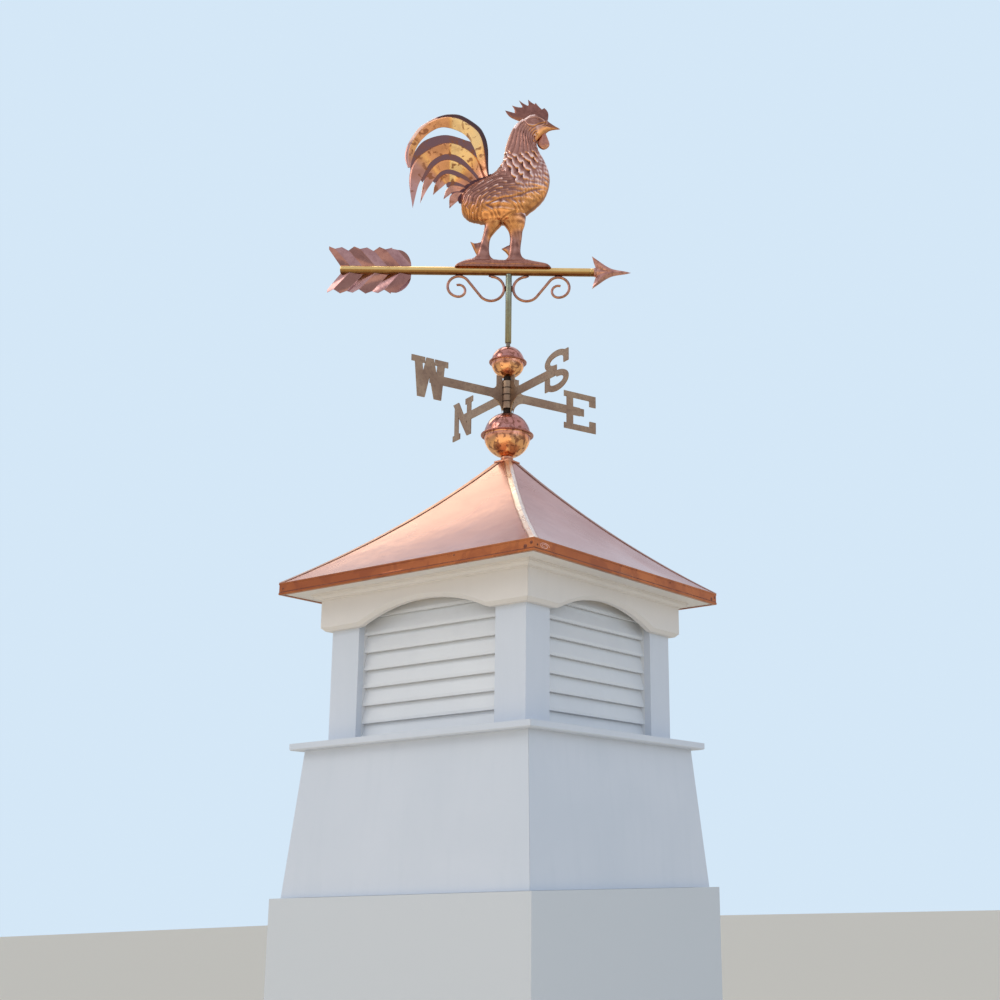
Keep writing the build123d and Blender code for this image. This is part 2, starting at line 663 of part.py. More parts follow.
def make_tail():
    """Sickle feathers that fan back from the rump, with an open crescent under the first."""
    edge = (tail_rim[-1],) + tail_tips + (tail_rim[0],)
    flat = make_face([ThreePointArc(*tail_rim)] + lines(edge))
    left, crown, right, sill = tail_crescent
    flat -= make_face([ThreePointArc(left, crown, right), ThreePointArc(right, sill, left)])
    raised = [upright_plate(feather(*row), tail_width + 2 * feather_relief) for row in tail_feathers]
    return sum_shapes([upright_plate(flat, tail_width)] + raised)


def make_comb():
    """The comb, whose spikes bend back, and the wattle under the beak."""
    nape, under = comb_nape
    edge = [ThreePointArc(nape, under, comb_tips[0])]
    for tip, valley, following in zip(comb_tips, comb_valleys, comb_tips[1:]):
        rise = Vector(*following) - Vector(*valley)
        bend = Vector(*valley) + rise * 0.5 + Vector(comb_hook * rise.length, 0)
        edge += [Line(tip, valley), ThreePointArc(valley, bend, following)]
    brow, front, root = comb_front
    edge += [ThreePointArc(comb_tips[-1], brow, front)] + lines([front, root, nape])
    wattle = Pos(*wattle_centre) * Ellipse(*wattle_radii) + outline(*wattle_top)
    return upright_plate(make_face(edge), comb_width) + upright_plate(wattle, wattle_width)


make_skirt()
make_sill()
make_posts()
make_louvres()
make_friezes()
make_eave()
make_roof()
make_mast()
make_hub()
make_arms()
make_arrow()
make_rooster()

for name, shape in pieces.items():
    whole = Compound(children=shape) if isinstance(shape, list) else shape
    export_step(whole, "parts/" + name + ".step")
    print(name)
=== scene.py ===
# %% [markdown]
# # A barn cupola with a rooster weathervane
#
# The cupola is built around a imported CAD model, which fixes every size and place. This lesson dresses
# that frame: boards and timber keep their CAD solids and get materials, and sheet metal, which is never
# quite flat, is worked out again as surfaces.

import json

import bmesh
import bpy
import numpy as np
from mathutils import Matrix, Vector


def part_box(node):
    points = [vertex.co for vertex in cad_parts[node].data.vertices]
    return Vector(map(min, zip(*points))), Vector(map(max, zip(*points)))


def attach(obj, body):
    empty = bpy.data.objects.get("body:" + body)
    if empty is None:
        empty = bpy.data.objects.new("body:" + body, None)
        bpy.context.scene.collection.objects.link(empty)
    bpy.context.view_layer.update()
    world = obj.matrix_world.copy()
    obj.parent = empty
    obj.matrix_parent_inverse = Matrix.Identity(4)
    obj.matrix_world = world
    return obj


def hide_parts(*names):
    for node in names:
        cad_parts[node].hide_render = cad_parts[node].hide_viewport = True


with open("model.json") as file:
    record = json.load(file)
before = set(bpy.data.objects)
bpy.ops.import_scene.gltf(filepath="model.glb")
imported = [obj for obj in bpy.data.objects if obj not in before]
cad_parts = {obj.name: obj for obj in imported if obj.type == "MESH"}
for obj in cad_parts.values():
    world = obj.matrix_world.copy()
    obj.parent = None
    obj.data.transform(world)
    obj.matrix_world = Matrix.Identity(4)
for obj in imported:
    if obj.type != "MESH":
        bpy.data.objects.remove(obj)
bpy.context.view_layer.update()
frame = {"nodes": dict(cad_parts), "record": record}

# %% [markdown]
# ## The camera
#
# The photograph was taken from the front right, from about the height of the base, looking up. Its
# optical axis lies right of the picture's middle, as in a picture that was trimmed, and a small
# sideways shift of the lens gives the same view.

# %% Place the camera
camera_place = Vector((2.354, -2.9323, -0.0146))
camera_turn, camera_pitch, camera_roll = np.radians([30.725, 15.432, -1.576])
sensor_width = 36
focal_length = 1.42305 * sensor_width
view_shift = -0.2
nearest, farthest = 0.05, 200

ahead = Vector((-np.sin(camera_turn) * np.cos(camera_pitch), np.cos(camera_turn) * np.cos(camera_pitch),
                np.sin(camera_pitch)))
level = Vector((np.cos(camera_turn), np.sin(camera_turn), 0))
sideways = level * np.cos(camera_roll) + level.cross(ahead) * np.sin(camera_roll)
camera = bpy.data.objects.new("camera", bpy.data.cameras.new("camera"))
camera.data.sensor_width = sensor_width
camera.data.lens = focal_length
camera.data.shift_x = view_shift
camera.data.clip_start, camera.data.clip_end = nearest, farthest
turn = Matrix((sideways, sideways.cross(ahead), -ahead)).transposed().to_4x4()
camera.matrix_world = Matrix.Translation(camera_place) @ turn
bpy.context.scene.collection.objects.link(camera)
bpy.context.scene.camera = camera
print("camera is", round(camera_place.length, 2), "m from the base's centre")

# %% [markdown]
# ## Arrays into meshes
#
# Sheet metal is bent, spun or pressed, and each of these is a motion that a formula can follow. So every new
# piece is a grid of points, worked out as whole numpy arrays, and a change of one size moves them all. The
# first helpers stack such points, turn them about the mast and draw a smooth line through a few of them.

# %% Points
def xyz(x, y, z):
    """Points from three coordinates, each an array or one number, spread out to the same grid."""
    return np.stack(np.broadcast_arrays(x, y, z), axis=-1)


def full_circle(steps):
    """Angles at even steps, once round."""
    return np.linspace(0, 2 * np.pi, steps, endpoint=False)


def about_mast(points, angle):
    """The points turned about the mast by an angle."""
    x, y, z = np.moveaxis(np.asarray(points, float), -1, 0)
    return xyz(x * np.cos(angle) - y * np.sin(angle), x * np.sin(angle) + y * np.cos(angle), z)


def smooth_line(points, count):
    """A Catmull-Rom curve through the points: each stretch is a cubic of its four nearest points."""
    p = np.asarray(points, float)
    p = np.concatenate([[2 * p[0] - p[1]], p, [2 * p[-1] - p[-2]]])
    t = np.linspace(0, len(p) - 3, count)
    k = np.minimum(t.astype(int), len(p) - 4)
    f = (t - k)[:, None]
    a, b, c, d = p[k], p[k + 1], p[k + 2], p[k + 3]
    square, cube = (2 * a - 5 * b + 4 * c - d) * f ** 2, (3 * b - a - 3 * c + d) * f ** 3
    return 0.5 * (2 * b + (c - a) * f + square + cube)


print("halfway along a bent line:", smooth_line([(0, 0), (1, 0), (1, 1)], 3)[1])

# %% [markdown]
# A part is a pair: its points, and its faces as rows of four point numbers. A sheet is two grids joined round
# their edges, a rod or a horn is a tube of rings, and a globe or a tube is a profile turned about the mast.
# All of them come out closed, because only a closed shell has an inside and an outside.

# %% Parts
def grid_faces(rows, columns, join_rows=False, join_columns=False):
    """Quads between neighbours of a rows by columns grid; a joined direction closes on itself."""
    r = np.arange(rows if join_rows else rows - 1)[:, None]
    c = np.arange(columns if join_columns else columns - 1)[None, :]
    r2, c2 = (r + 1) % rows, (c + 1) % columns
    quads = [r * columns + c, r * columns + c2, r2 * columns + c2, r2 * columns + c]
    return np.stack([np.broadcast_to(q, (r.size, c.size)) for q in quads], axis=-1).reshape(-1, 4)


def closed_sheet(front, back):
    """Two matching grids of points, joined along their four edges into one closed wall."""
    rows, columns = front.shape[:2]
    index = np.arange(rows * columns).reshape(rows, columns)
    rim = np.concatenate([index[0], index[1:, -1], index[-1, -2::-1], index[-2:0:-1, 0]])
    following, lower = np.roll(rim, -1), rows * columns
    faces = grid_faces(rows, columns)
    edge = np.stack([rim, following, following + lower, rim + lower], axis=-1)
    points = np.concatenate([front.reshape(-1, 3), back.reshape(-1, 3)])
    return points, np.concatenate([faces, faces[:, ::-1] + lower, edge])


def capped(rings):
    """A tube of rings, closed at each end by one more ring that is drawn together to a point."""
    ends = [np.broadcast_to(ring.mean(axis=0), (1, *ring.shape)) for ring in (rings[0], rings[-1])]
    rings = np.concatenate([ends[0], rings, ends[1]])
    return rings.reshape(-1, 3), grid_faces(*rings.shape[:2], join_columns=True)


def carried(path, across, up, sections):
    """A capped tube: at each point of a path, a section of (across, up) pairs in those two directions."""
    across, up = (np.broadcast_to(way, path.shape)[:, None] for way in (across, up))
    return capped(path[:, None] + across * sections[..., :1] + up * sections[..., 1:])


def turned(profile, steps=96, closed=True):
    """A profile of (radius, height) turned about the mast; a closed profile joins its end to its start."""
    radius, height = np.asarray(profile, float).T[:, :, None]
    points = about_mast(xyz(radius, 0, height), full_circle(steps))
    return points.reshape(-1, 3), grid_faces(len(radius), steps, join_rows=closed, join_columns=True)


def join_parts(*parts):
    """Several (points, faces) pairs as one pair, each part's faces counted on from the last."""
    starts = np.cumsum([0] + [len(points) for points, faces in parts[:-1]])
    return (np.concatenate([points for points, faces in parts]),
            np.concatenate([faces + start for start, (points, faces) in zip(starts, parts)]))


print("faces of a closed ring of 4 by 6:", len(grid_faces(4, 6, True, True)))

# %% [markdown]
# A piece is filed on the body that it moves with, and the CAD nodes that it stands for are hidden. Rings that
# were drawn together to a point are merged first, since after that Blender can turn all the faces outwards.

# %% File a piece
def put_piece(name, part, slot, material, stands_for=(), relief=None, crease=35, body="cupola"):
    """Makes a mesh of a part, merges its doubles, turns its faces outwards and files it on its body."""
    points, faces = part
    mesh = bpy.data.meshes.new(name)
    mesh.from_pydata(points.tolist(), [], faces.tolist())
    if relief is not None:
        layer = mesh.attributes.new("relief", "FLOAT", "POINT")
        layer.data.foreach_set("value", relief.astype(np.float32).ravel())
    work = bmesh.new()
    work.from_mesh(mesh)
    bmesh.ops.remove_doubles(work, verts=work.verts, dist=1e-6)
    bmesh.ops.dissolve_degenerate(work, edges=work.edges, dist=1e-7)
    bmesh.ops.recalc_face_normals(work, faces=work.faces)
    work.to_mesh(mesh)
    work.free()
    mesh.polygons.foreach_set("use_smooth", np.ones(len(mesh.polygons), bool))
    mesh.set_sharp_from_angle(angle=np.radians(crease))
    mesh.materials.append(material)
    piece = bpy.data.objects.new(name, mesh)
    bpy.context.scene.collection.objects.link(piece)
    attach(piece, body)
    if stands_for:
        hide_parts(*stands_for)
    print(name, "-", len(mesh.polygons), "faces")


# %% [markdown]
# ## Node groups
#
# Old copper, brass and paint share a few effects: slow patches of tone, streaks left by rolling and by rain,
# and a sheltered side. Each is one node group, placed in the materials with its own values. Nodes are wired
# by name, so a few helpers come first; in them a value may be a number, a colour or another node's socket.

# %% Nodes
def feed(tree, socket, value):
    """Gives an input a number or a colour, or links it where the value is itself a socket."""
    if isinstance(value, bpy.types.NodeSocket):
        tree.links.new(value, socket)
    else:
        socket.default_value = (*value, 1) if socket.type == "RGBA" else value


def add_node(tree, kind, inputs, **settings):
    """A node with its settings, and with inputs that are fed by name or number."""
    node = tree.nodes.new(kind)
    for key, value in settings.items():
        setattr(node, key, value)
    for key, value in inputs.items():
        feed(tree, node.inputs[key], value)
    return node


def calculate(tree, operation, first, second):
    """One sum of two numbers or sockets."""
    return add_node(tree, "ShaderNodeMath", {0: first, 1: second}, operation=operation).outputs[0]


def noise(tree, vector, scale, detail, distortion=0.0):
    """A noise texture's grey value."""
    return add_node(tree, "ShaderNodeTexNoise", {"Vector": vector, "Scale": scale, "Detail": detail,
                                                 "Distortion": distortion}).outputs["Fac"]


def own_place(tree):
    """The point of the object that is being shaded."""
    return tree.nodes.new("ShaderNodeTexCoord").outputs["Object"]


def new_group(name, **inputs):
    """A shader group with numbers as inputs and one output, Mask."""
    group = bpy.data.node_groups.new(name, "ShaderNodeTree")
    for label, value in inputs.items():
        socket = group.interface.new_socket(label, in_out="INPUT", socket_type="NodeSocketFloat")
        socket.default_value = value
    group.interface.new_socket("Mask", in_out="OUTPUT", socket_type="NodeSocketFloat")
    given, result = group.nodes.new("NodeGroupInput"), group.nodes.new("NodeGroupOutput")
    return group, given.outputs, result.inputs["Mask"]


def soft_step(tree, value, start, end):
    """0 up to the start, rising smoothly to 1 at the end."""
    return add_node(tree, "ShaderNodeMapRange", {"Value": value, "From Min": start, "From Max": end},
                    interpolation_type="SMOOTHSTEP").outputs["Result"]


# %% [markdown]
# Metal and paint age in patches that are wider than they are sharp. Noise gives the patches, and a smooth
# step about its middle value sets how softly they end. Streaks are the same noise, squeezed sideways so that
# its clouds stand upright.

# %% Patches and streaks
patches, given, mask = new_group("slow_patches", Scale=6.0, Softness=0.3, Detail=3.0)
cloud = noise(patches, own_place(patches), given["Scale"], given["Detail"], 0.6)
edges = [calculate(patches, operation, 0.5, given["Softness"]) for operation in ("SUBTRACT", "ADD")]
feed(patches, mask, soft_step(patches, cloud, *edges))

streaks, given, mask = new_group("drawn_streaks", Scale=30.0, Stretch=12.0)
stretch = given["Stretch"]
squeeze = add_node(streaks, "ShaderNodeCombineXYZ", {"X": stretch, "Y": stretch, "Z": 1.0}).outputs[0]
drawn = add_node(streaks, "ShaderNodeVectorMath", {0: own_place(streaks), 1: squeeze}, operation="MULTIPLY")
feed(streaks, mask, noise(streaks, drawn.outputs[0], given["Scale"], 4.0))
print("groups so far:", [group.name for group in bpy.data.node_groups])

# %% [markdown]
# Faces that look down get a tone of their own. It is painted light: on most pieces the warm ground
# reflected in the metal, and on the brass tube of the arrow painted shade. The direction of the surface
# itself gives that mask: 0 where it faces up or sideways, 1 where it faces down.

# %% Painted light on the undersides
underside_light, given, mask = new_group("underside_painted_light", Start=0.02, End=0.5)
facing = underside_light.nodes.new("ShaderNodeNewGeometry").outputs["Normal"]
upward = add_node(underside_light, "ShaderNodeSeparateXYZ", {"Vector": facing}).outputs["Z"]
downward = calculate(underside_light, "MULTIPLY", upward, -1.0)
feed(underside_light, mask, soft_step(underside_light, downward, given["Start"], given["End"]))
print("groups:", [group.name for group in bpy.data.node_groups])

# %% [markdown]
# ## Colour and finish
#
# A material here is a Principled shader whose colour, roughness and bump change over the surface. A few
# small helpers keep the node work readable: a colour ramp, a mix of two colours, a stretched mask and a bump.

# %% Ramp, mix and finish
def ramp(tree, source, *stops):
    """A colour ramp over a mask: stops are (place, red, green, blue)."""
    node = add_node(tree, "ShaderNodeValToRGB", {"Fac": source})
    while len(node.color_ramp.elements) < len(stops):
        node.color_ramp.elements.new(0.5)
    for element, (position, *colour) in zip(node.color_ramp.elements, stops):
        element.position = position
        element.color = (*colour, 1)
    return node.outputs["Color"]


def mix(tree, mask, first, second):
    """Two colours mixed by a mask; each may be a socket or a plain colour."""
    return add_node(tree, "ShaderNodeMix", {0: mask, 6: first, 7: second}, data_type="RGBA").outputs[2]


def level_to(tree, source, low, high, start=0.0, stop=1.0):
    """A mask stretched from start..stop to low..high."""
    return add_node(tree, "ShaderNodeMapRange", {"Value": source, "From Min": start, "From Max": stop,
                                                 "To Min": low, "To Max": high}).outputs["Result"]


def place_group(tree, name, **values):
    """A copy of a shared node group with its own values."""
    node = tree.nodes.new("ShaderNodeGroup")
    node.node_tree = bpy.data.node_groups[name]
    for key, value in values.items():
        node.inputs[key].default_value = value
    return node.outputs["Mask"]


def patchy(tree, scale, softness, detail):
    """Slow patches: their number in a metre, how softly they end and how ragged they are."""
    return place_group(tree, "slow_patches", Scale=scale, Softness=softness, Detail=detail)


def new_material(name, metallic=0.0):
    """A material with its Principled shader."""
    material = bpy.data.materials.new(name)
    material.use_nodes = True
    feed(material.node_tree, material.node_tree.nodes["Principled BSDF"].inputs["Metallic"], metallic)
    return material, material.node_tree


def finish(tree, colour, roughness, bumps=None, strength=0.0, height=0.0):
    """Feeds the shader its colour and roughness; bumps are a mask that bends the light, height in metres."""
    skin = tree.nodes["Principled BSDF"].inputs
    feed(tree, skin["Base Color"], colour)
    feed(tree, skin["Roughness"], roughness)
    if bumps:
        node = add_node(tree, "ShaderNodeBump", {"Height": bumps, "Strength": strength, "Distance": height})
        feed(tree, skin["Normal"], node.outputs["Normal"])


# %% [markdown]
# ## White boards and slats
#
# The woodwork is cellular board with a satin white paint. New paint is nearly even: what gives it away is a
# faint change of tone from board to board, dust in patches and faint upright streaks, and a very fine orange
# peel.

# %% Painted board
def painted_board(name, clean, dusty, peel):
    """Satin paint: slow patches between two whites, fine peel in the bump, patches in the roughness."""
    material, tree = new_material(name)
    broad, fine = patchy(tree, 3.5, 0.35, 4.0), patchy(tree, 60.0, 0.4, 3.0)
    runs = place_group(tree, "drawn_streaks", Scale=4.0, Stretch=9.0)
    paint = mix(tree, level_to(tree, broad, 0, 0.75), clean, dusty)
    paint = mix(tree, level_to(tree, runs, 0, 0.5, 0.5, 0.8), paint, dusty)
    finish(tree, paint, level_to(tree, broad, 0.38, 0.5), fine, 0.25, peel)
    return material


# The warm copy of the board paint on the crown, soffit and frieze boards is painted warm ground light; the
# slats' lighter copy is painted light bounced into the louvres.
board_paint = painted_board("satin_white_board", (0.66, 0.70, 0.77), (0.60, 0.65, 0.72), 0.0004)
warm_lit_board_paint = painted_board("satin_board_warm_lit", (0.77, 0.73, 0.69), (0.71, 0.675, 0.64), 0.0004)
lit_slat_paint = painted_board("satin_white_slat_lit", (0.75, 0.77, 0.79), (0.68, 0.70, 0.73), 0.0003)
print("paints:", board_paint.name, warm_lit_board_paint.name, lit_slat_paint.name)

# %% [markdown]
# ## Timber behind the boards
#
# Seen only from below: sawn studs with long grain, and a plywood deck whose veneer runs in broad waves. A
# wave texture bent by noise gives both, because growth rings are bands that wander; only their scale differs.

# %% Timber and plywood
def sawn_wood(name, light, dark, grain, wave_scale):
    """Wood: bands of a wave texture, bent by noise, between two browns, with open pores in the bump."""
    material, tree = new_material(name)
    bands = {"Vector": own_place(tree), "Scale": wave_scale, "Distortion": 9.0, "Detail": 3.0,
             "Detail Scale": 1.5}
    wave = add_node(tree, "ShaderNodeTexWave", bands, bands_direction="DIAGONAL")
    pores = place_group(tree, "drawn_streaks", Scale=grain, Stretch=14.0)
    brown = ramp(tree, wave.outputs["Fac"], (0.1, *dark), (0.8, *light))
    finish(tree, brown, level_to(tree, pores, 0.55, 0.8), pores, 0.4, 0.0006)
    return material


timber = sawn_wood("sawn_timber", (0.62, 0.45, 0.27), (0.47, 0.31, 0.17), 22.0, 9.0)
plywood = sawn_wood("plywood_deck", (0.60, 0.42, 0.25), (0.50, 0.33, 0.18), 10.0, 3.0)
print("woods:", timber.name, plywood.name)

# %% [markdown]
# ## Sheet copper, brass and steel
#
# Bare copper outdoors keeps its mirror for a few weeks. Then it dulls in patches, red-brown first where
# hands and flux were. One recipe makes all the metals: two tones mixed by slow patches, spots of a third
# tone, and a roughness that follows the same patches, so that dull places also look dull.

# %% Metal recipe
def sheet_metal(name, bright, dull, spot, painted_underside, patch=5.0, spot_share=0.5, smooth=(0.2, 0.38),
                dent=0.0008, drawn=0.3):
    """Metal: two tones by slow patches, painted light on its underside, dark spots, streaks and shallow
    dents.
    """
    material, tree = new_material(name, metallic=1.0)
    broad, small = patchy(tree, patch, 0.16, 5.0), patchy(tree, patch * 9, 0.12, 6.0)
    lines = place_group(tree, "drawn_streaks", Scale=20.0, Stretch=8.0)
    tone = mix(tree, broad, bright, dull)
    # Faces that look down take the painted underside tone: reflected ground on copper, shade on the arrow's
    # tube.
    tone = mix(tree, place_group(tree, "underside_painted_light"), tone, painted_underside)
    tone = mix(tree, level_to(tree, small, 0, spot_share, 0.55, 1.0), tone, spot)
    tone = mix(tree, level_to(tree, lines, 0, drawn, 0.45, 0.8), tone, dull)
    finish(tree, tone, level_to(tree, broad, *smooth), broad, 0.5, dent)
    return material


# %% [markdown]
# Each metal is that recipe with colours and places of its own. Those of the roof change slowly, since its
# sheets are large; a cast or soldered bit has many small patches, and a tube that was drawn through a die is
# nearly even and shines.

# %% Copper of the roof and the globes
roof_copper = sheet_metal(
    "roof_copper", (0.60, 0.32, 0.28), (0.48, 0.245, 0.22), (0.42, 0.20, 0.18), (0.70, 0.42, 0.32),
    patch=2.2, spot_share=0.25, smooth=(0.20, 0.30), dent=0.003)
cap_copper = sheet_metal(
    "roof_cap_copper", (0.64, 0.30, 0.18), (0.50, 0.22, 0.14), (0.42, 0.21, 0.16), (0.80, 0.42, 0.24),
    patch=9.0, spot_share=0.45, smooth=(0.24, 0.40), dent=0.001)
band_copper = sheet_metal(
    "drip_band_copper", (0.46, 0.155, 0.06), (0.33, 0.10, 0.045), (0.24, 0.07, 0.04), (0.50, 0.19, 0.07),
    patch=2.6, spot_share=0.45, smooth=(0.24, 0.36), dent=0.001)
globe_copper = sheet_metal(
    "globe_copper", (0.58, 0.27, 0.23), (0.40, 0.18, 0.17), (0.22, 0.08, 0.05), (1.0, 0.50, 0.21),
    patch=8.0, spot_share=0.8, smooth=(0.12, 0.28), dent=0.0006)
crimp_copper = sheet_metal(
    "globe_crimp_copper", (0.50, 0.21, 0.17), (0.38, 0.15, 0.13), (0.22, 0.09, 0.06), (0.50, 0.20, 0.15))
print("roof and globes:", roof_copper.name, cap_copper.name, band_copper.name, globe_copper.name)

# %% Brass and steel
arm_brass = sheet_metal(
    "dull_brass_plate", (0.36, 0.25, 0.17), (0.30, 0.20, 0.145), (0.20, 0.13, 0.10), (0.50, 0.34, 0.18),
    patch=12.0, spot_share=0.4, smooth=(0.36, 0.52), dent=0.0004)
tube_brass = sheet_metal(
    "brass_tube", (0.82, 0.58, 0.24), (0.70, 0.46, 0.18), (0.44, 0.26, 0.10), (0.24, 0.12, 0.04),
    patch=5.0, spot_share=0.2, smooth=(0.09, 0.20), dent=0.0002, drawn=0.1)
olive_brass = sheet_metal(
    "olive_brass_tube", (0.29, 0.325, 0.25), (0.23, 0.25, 0.19), (0.20, 0.13, 0.07), (0.30, 0.22, 0.10),
    patch=8.0, spot_share=0.25, smooth=(0.28, 0.38), dent=0.0002, drawn=0.15)
# A near-black sheet for the hub's spacer and sleeve: painted shadow in the notches between the arms.
hub_shadow = sheet_metal(
    "hub_painted_shadow", (0.035, 0.025, 0.02), (0.025, 0.018, 0.015), (0.015, 0.01, 0.01), (0.04, 0.025, 0.015),
    patch=24.0, spot_share=0.4, smooth=(0.5, 0.65), dent=0.0002)
rod_steel = sheet_metal(
    "plated_rod", (0.20, 0.17, 0.14), (0.15, 0.12, 0.10), (0.20, 0.15, 0.12), (0.34, 0.26, 0.2),
    patch=25.0, spot_share=0.4, smooth=(0.30, 0.45), dent=0.0002)
print("brass and steel:", arm_brass.name, tube_brass.name, olive_brass.name, rod_steel.name)

# %% Copper of the vane
flight_copper = sheet_metal(
    "flight_copper", (0.50, 0.29, 0.28), (0.34, 0.18, 0.185), (0.26, 0.12, 0.12), (0.42, 0.20, 0.19),
    patch=7.0, spot_share=0.3, smooth=(0.10, 0.22), dent=0.0006)
head_copper = sheet_metal(
    "arrow_head_copper", (0.76, 0.44, 0.38), (0.46, 0.22, 0.18), (0.24, 0.10, 0.08), (0.66, 0.34, 0.25),
    patch=10.0, smooth=(0.08, 0.20), dent=0.0006)
scroll_copper = sheet_metal(
    "scroll_copper", (0.50, 0.25, 0.20), (0.34, 0.16, 0.13), (0.20, 0.09, 0.07), (0.56, 0.27, 0.13),
    patch=14.0, smooth=(0.20, 0.36), dent=0.0004)
leg_copper = sheet_metal(
    "leg_copper", (0.44, 0.20, 0.15), (0.30, 0.13, 0.10), (0.18, 0.08, 0.06), (0.46, 0.21, 0.11),
    patch=16.0, smooth=(0.26, 0.42))
comb_copper = sheet_metal(
    "comb_copper", (0.34, 0.15, 0.12), (0.25, 0.11, 0.09), (0.16, 0.07, 0.06), (0.42, 0.19, 0.13),
    patch=14.0, spot_share=0.4, smooth=(0.28, 0.42), dent=0.0006)
wattle_copper = sheet_metal(
    "wattle_copper", (0.60, 0.28, 0.20), (0.46, 0.20, 0.15), (0.30, 0.12, 0.09), (0.70, 0.34, 0.20),
    patch=14.0, spot_share=0.4, smooth=(0.24, 0.38), dent=0.0006)
root_shade_copper = sheet_metal(
    "tail_root_painted_shade", (0.12, 0.055, 0.06), (0.09, 0.04, 0.05), (0.05, 0.025, 0.03), (0.14, 0.06, 0.05),
    patch=20.0, spot_share=0.4, smooth=(0.34, 0.5), dent=0.0006)
dark_solder = sheet_metal(
    "weld_beads", (0.22, 0.09, 0.06), (0.16, 0.06, 0.05), (0.08, 0.04, 0.03), (0.30, 0.12, 0.07),
    patch=30.0, smooth=(0.4, 0.6), dent=0.0004)
print("materials so far:", len(bpy.data.materials))

# %% [markdown]
# The rooster is embossed: its raised feathers stay bright while the hollows between them darken first. Its
# meshes carry a value called relief, 0 in a hollow and 1 on a ridge, and the colour and the gloss follow it.

# %% Embossed copper
def own_relief(tree):
    """The value called relief that the mesh carries."""
    return add_node(tree, "ShaderNodeAttribute", {}, attribute_name="relief").outputs["Fac"]


def embossed_copper(name, ridge, middle, hollow, glow, painted_underside, painted_underside_hollow, tip):
    """Tone and roughness follow the relief in slow patches; painted highlights on ridges, painted light
    below.
    """
    material, tree = new_material(name, metallic=1.0)
    relief = own_relief(tree)
    broad, small = patchy(tree, 11.0, 0.15, 5.0), patchy(tree, 70.0, 0.2, 4.0)
    body = ramp(tree, relief, (0.0, *hollow), (0.4, *middle))
    tone = mix(tree, level_to(tree, relief, 0, 1, 0.4, 1.0), body, mix(tree, broad, ridge, glow))
    # The tip colour on the highest relief is a painted highlight.
    tone = mix(tree, level_to(tree, relief, 0, 0.95, 0.56, 0.86), tone, tip)
    # Faces that look down get a painted reflection of the ground, darker in the hollows.
    painted_underside_gold = mix(tree, level_to(tree, relief, 0, 1, 0.1, 0.7), painted_underside_hollow, painted_underside)
    tone = mix(tree, place_group(tree, "underside_painted_light", Start=0.0, End=0.32), tone, painted_underside_gold)
    tone = mix(tree, level_to(tree, small, 0, 0.35, 0.6, 1.0), tone, hollow)
    finish(tree, tone, level_to(tree, relief, 0.42, 0.2), small, 0.3, 0.0005)
    return material


# tip is the colour of the painted highlights on the ridges.
bird_copper = embossed_copper(
    "rooster_copper", ridge=(0.74, 0.42, 0.36), middle=(0.38, 0.18, 0.14), hollow=(0.12, 0.05, 0.045),
    glow=(0.52, 0.27, 0.22), painted_underside=(0.90, 0.41, 0.15), painted_underside_hollow=(0.40, 0.16, 0.06), tip=(1.0, 0.76, 0.70))
print("embossed:", bird_copper.name)

# %% [markdown]
# The tail's bent feathers run from yellow over orange to mauve: a painted reflection that changes as they
# bend round. The mesh has that place on the scale from 0 to 1, and brown stains of two sizes lie over the
# colour looked up from it. The rim of the tail and the strips on the roof's hips have scales of their own,
# which also hold painted highlights and shade.

# %% Toned copper
def toned_copper(name, scale, stain, stain_share=0.85, patch=16.0):
    """Copper whose colour is looked up on a scale by the value of the mesh, with stains on top."""
    material, tree = new_material(name, metallic=1.0)
    broad, small = patchy(tree, patch, 0.26, 5.0), patchy(tree, 3.4 * patch, 0.2, 5.0)
    clean = ramp(tree, own_relief(tree), *scale)
    tone = mix(tree, level_to(tree, broad, 0, stain_share, 0.5, 1.0), clean, mix(tree, 0.55, clean, stain))
    tone = mix(tree, level_to(tree, small, 0, stain_share, 0.74, 0.94), tone, stain)
    finish(tree, tone, level_to(tree, broad, 0.22, 0.36), small, 0.3, 0.0004)
    return material


tail_copper = toned_copper(
    "tail_copper", [(0.0, 0.22, 0.115, 0.115), (0.28, 0.24, 0.12, 0.12), (0.34, 0.58, 0.30, 0.26),
                    (0.5, 0.64, 0.30, 0.18), (0.66, 0.78, 0.37, 0.16), (0.82, 1.0, 0.53, 0.18),
                    (1.0, 1.0, 0.69, 0.32)], (0.30, 0.11, 0.05))
rim_copper = toned_copper(
    "tail_rim_copper", [(0.0, 0.075, 0.05, 0.055), (0.2, 0.16, 0.07, 0.06), (0.4, 0.44, 0.22, 0.20),
                        (0.9, 1.0, 0.64, 0.48)], (0.12, 0.05, 0.04), stain_share=0.4)
hip_copper = toned_copper(
    "hip_strip_copper", [(0.0, 0.22, 0.10, 0.07), (0.3, 0.42, 0.20, 0.15), (0.8, 0.94, 0.76, 0.66),
                         (1.0, 1.0, 0.88, 0.80)], (0.40, 0.19, 0.13), stain_share=0.35)
print("materials:", len(bpy.data.materials))

# %% [markdown]
# ## Finish the frame's own nodes
#
# A node whose solid already has the real shape keeps it and only gets its finish, by its slot unless it has
# a finish of its own.

# %% Finishes for the nodes
sides = ("front", "right", "back", "left")
finish_of = {"white_board": board_paint, "white_slat": lit_slat_paint, "timber": timber, "plywood": plywood,
             "roof_copper": roof_copper, "steel_rod": rod_steel, "globe_copper": globe_copper,
             "brass_plate": arm_brass, "arrow_copper": head_copper, "rooster_copper": leg_copper}
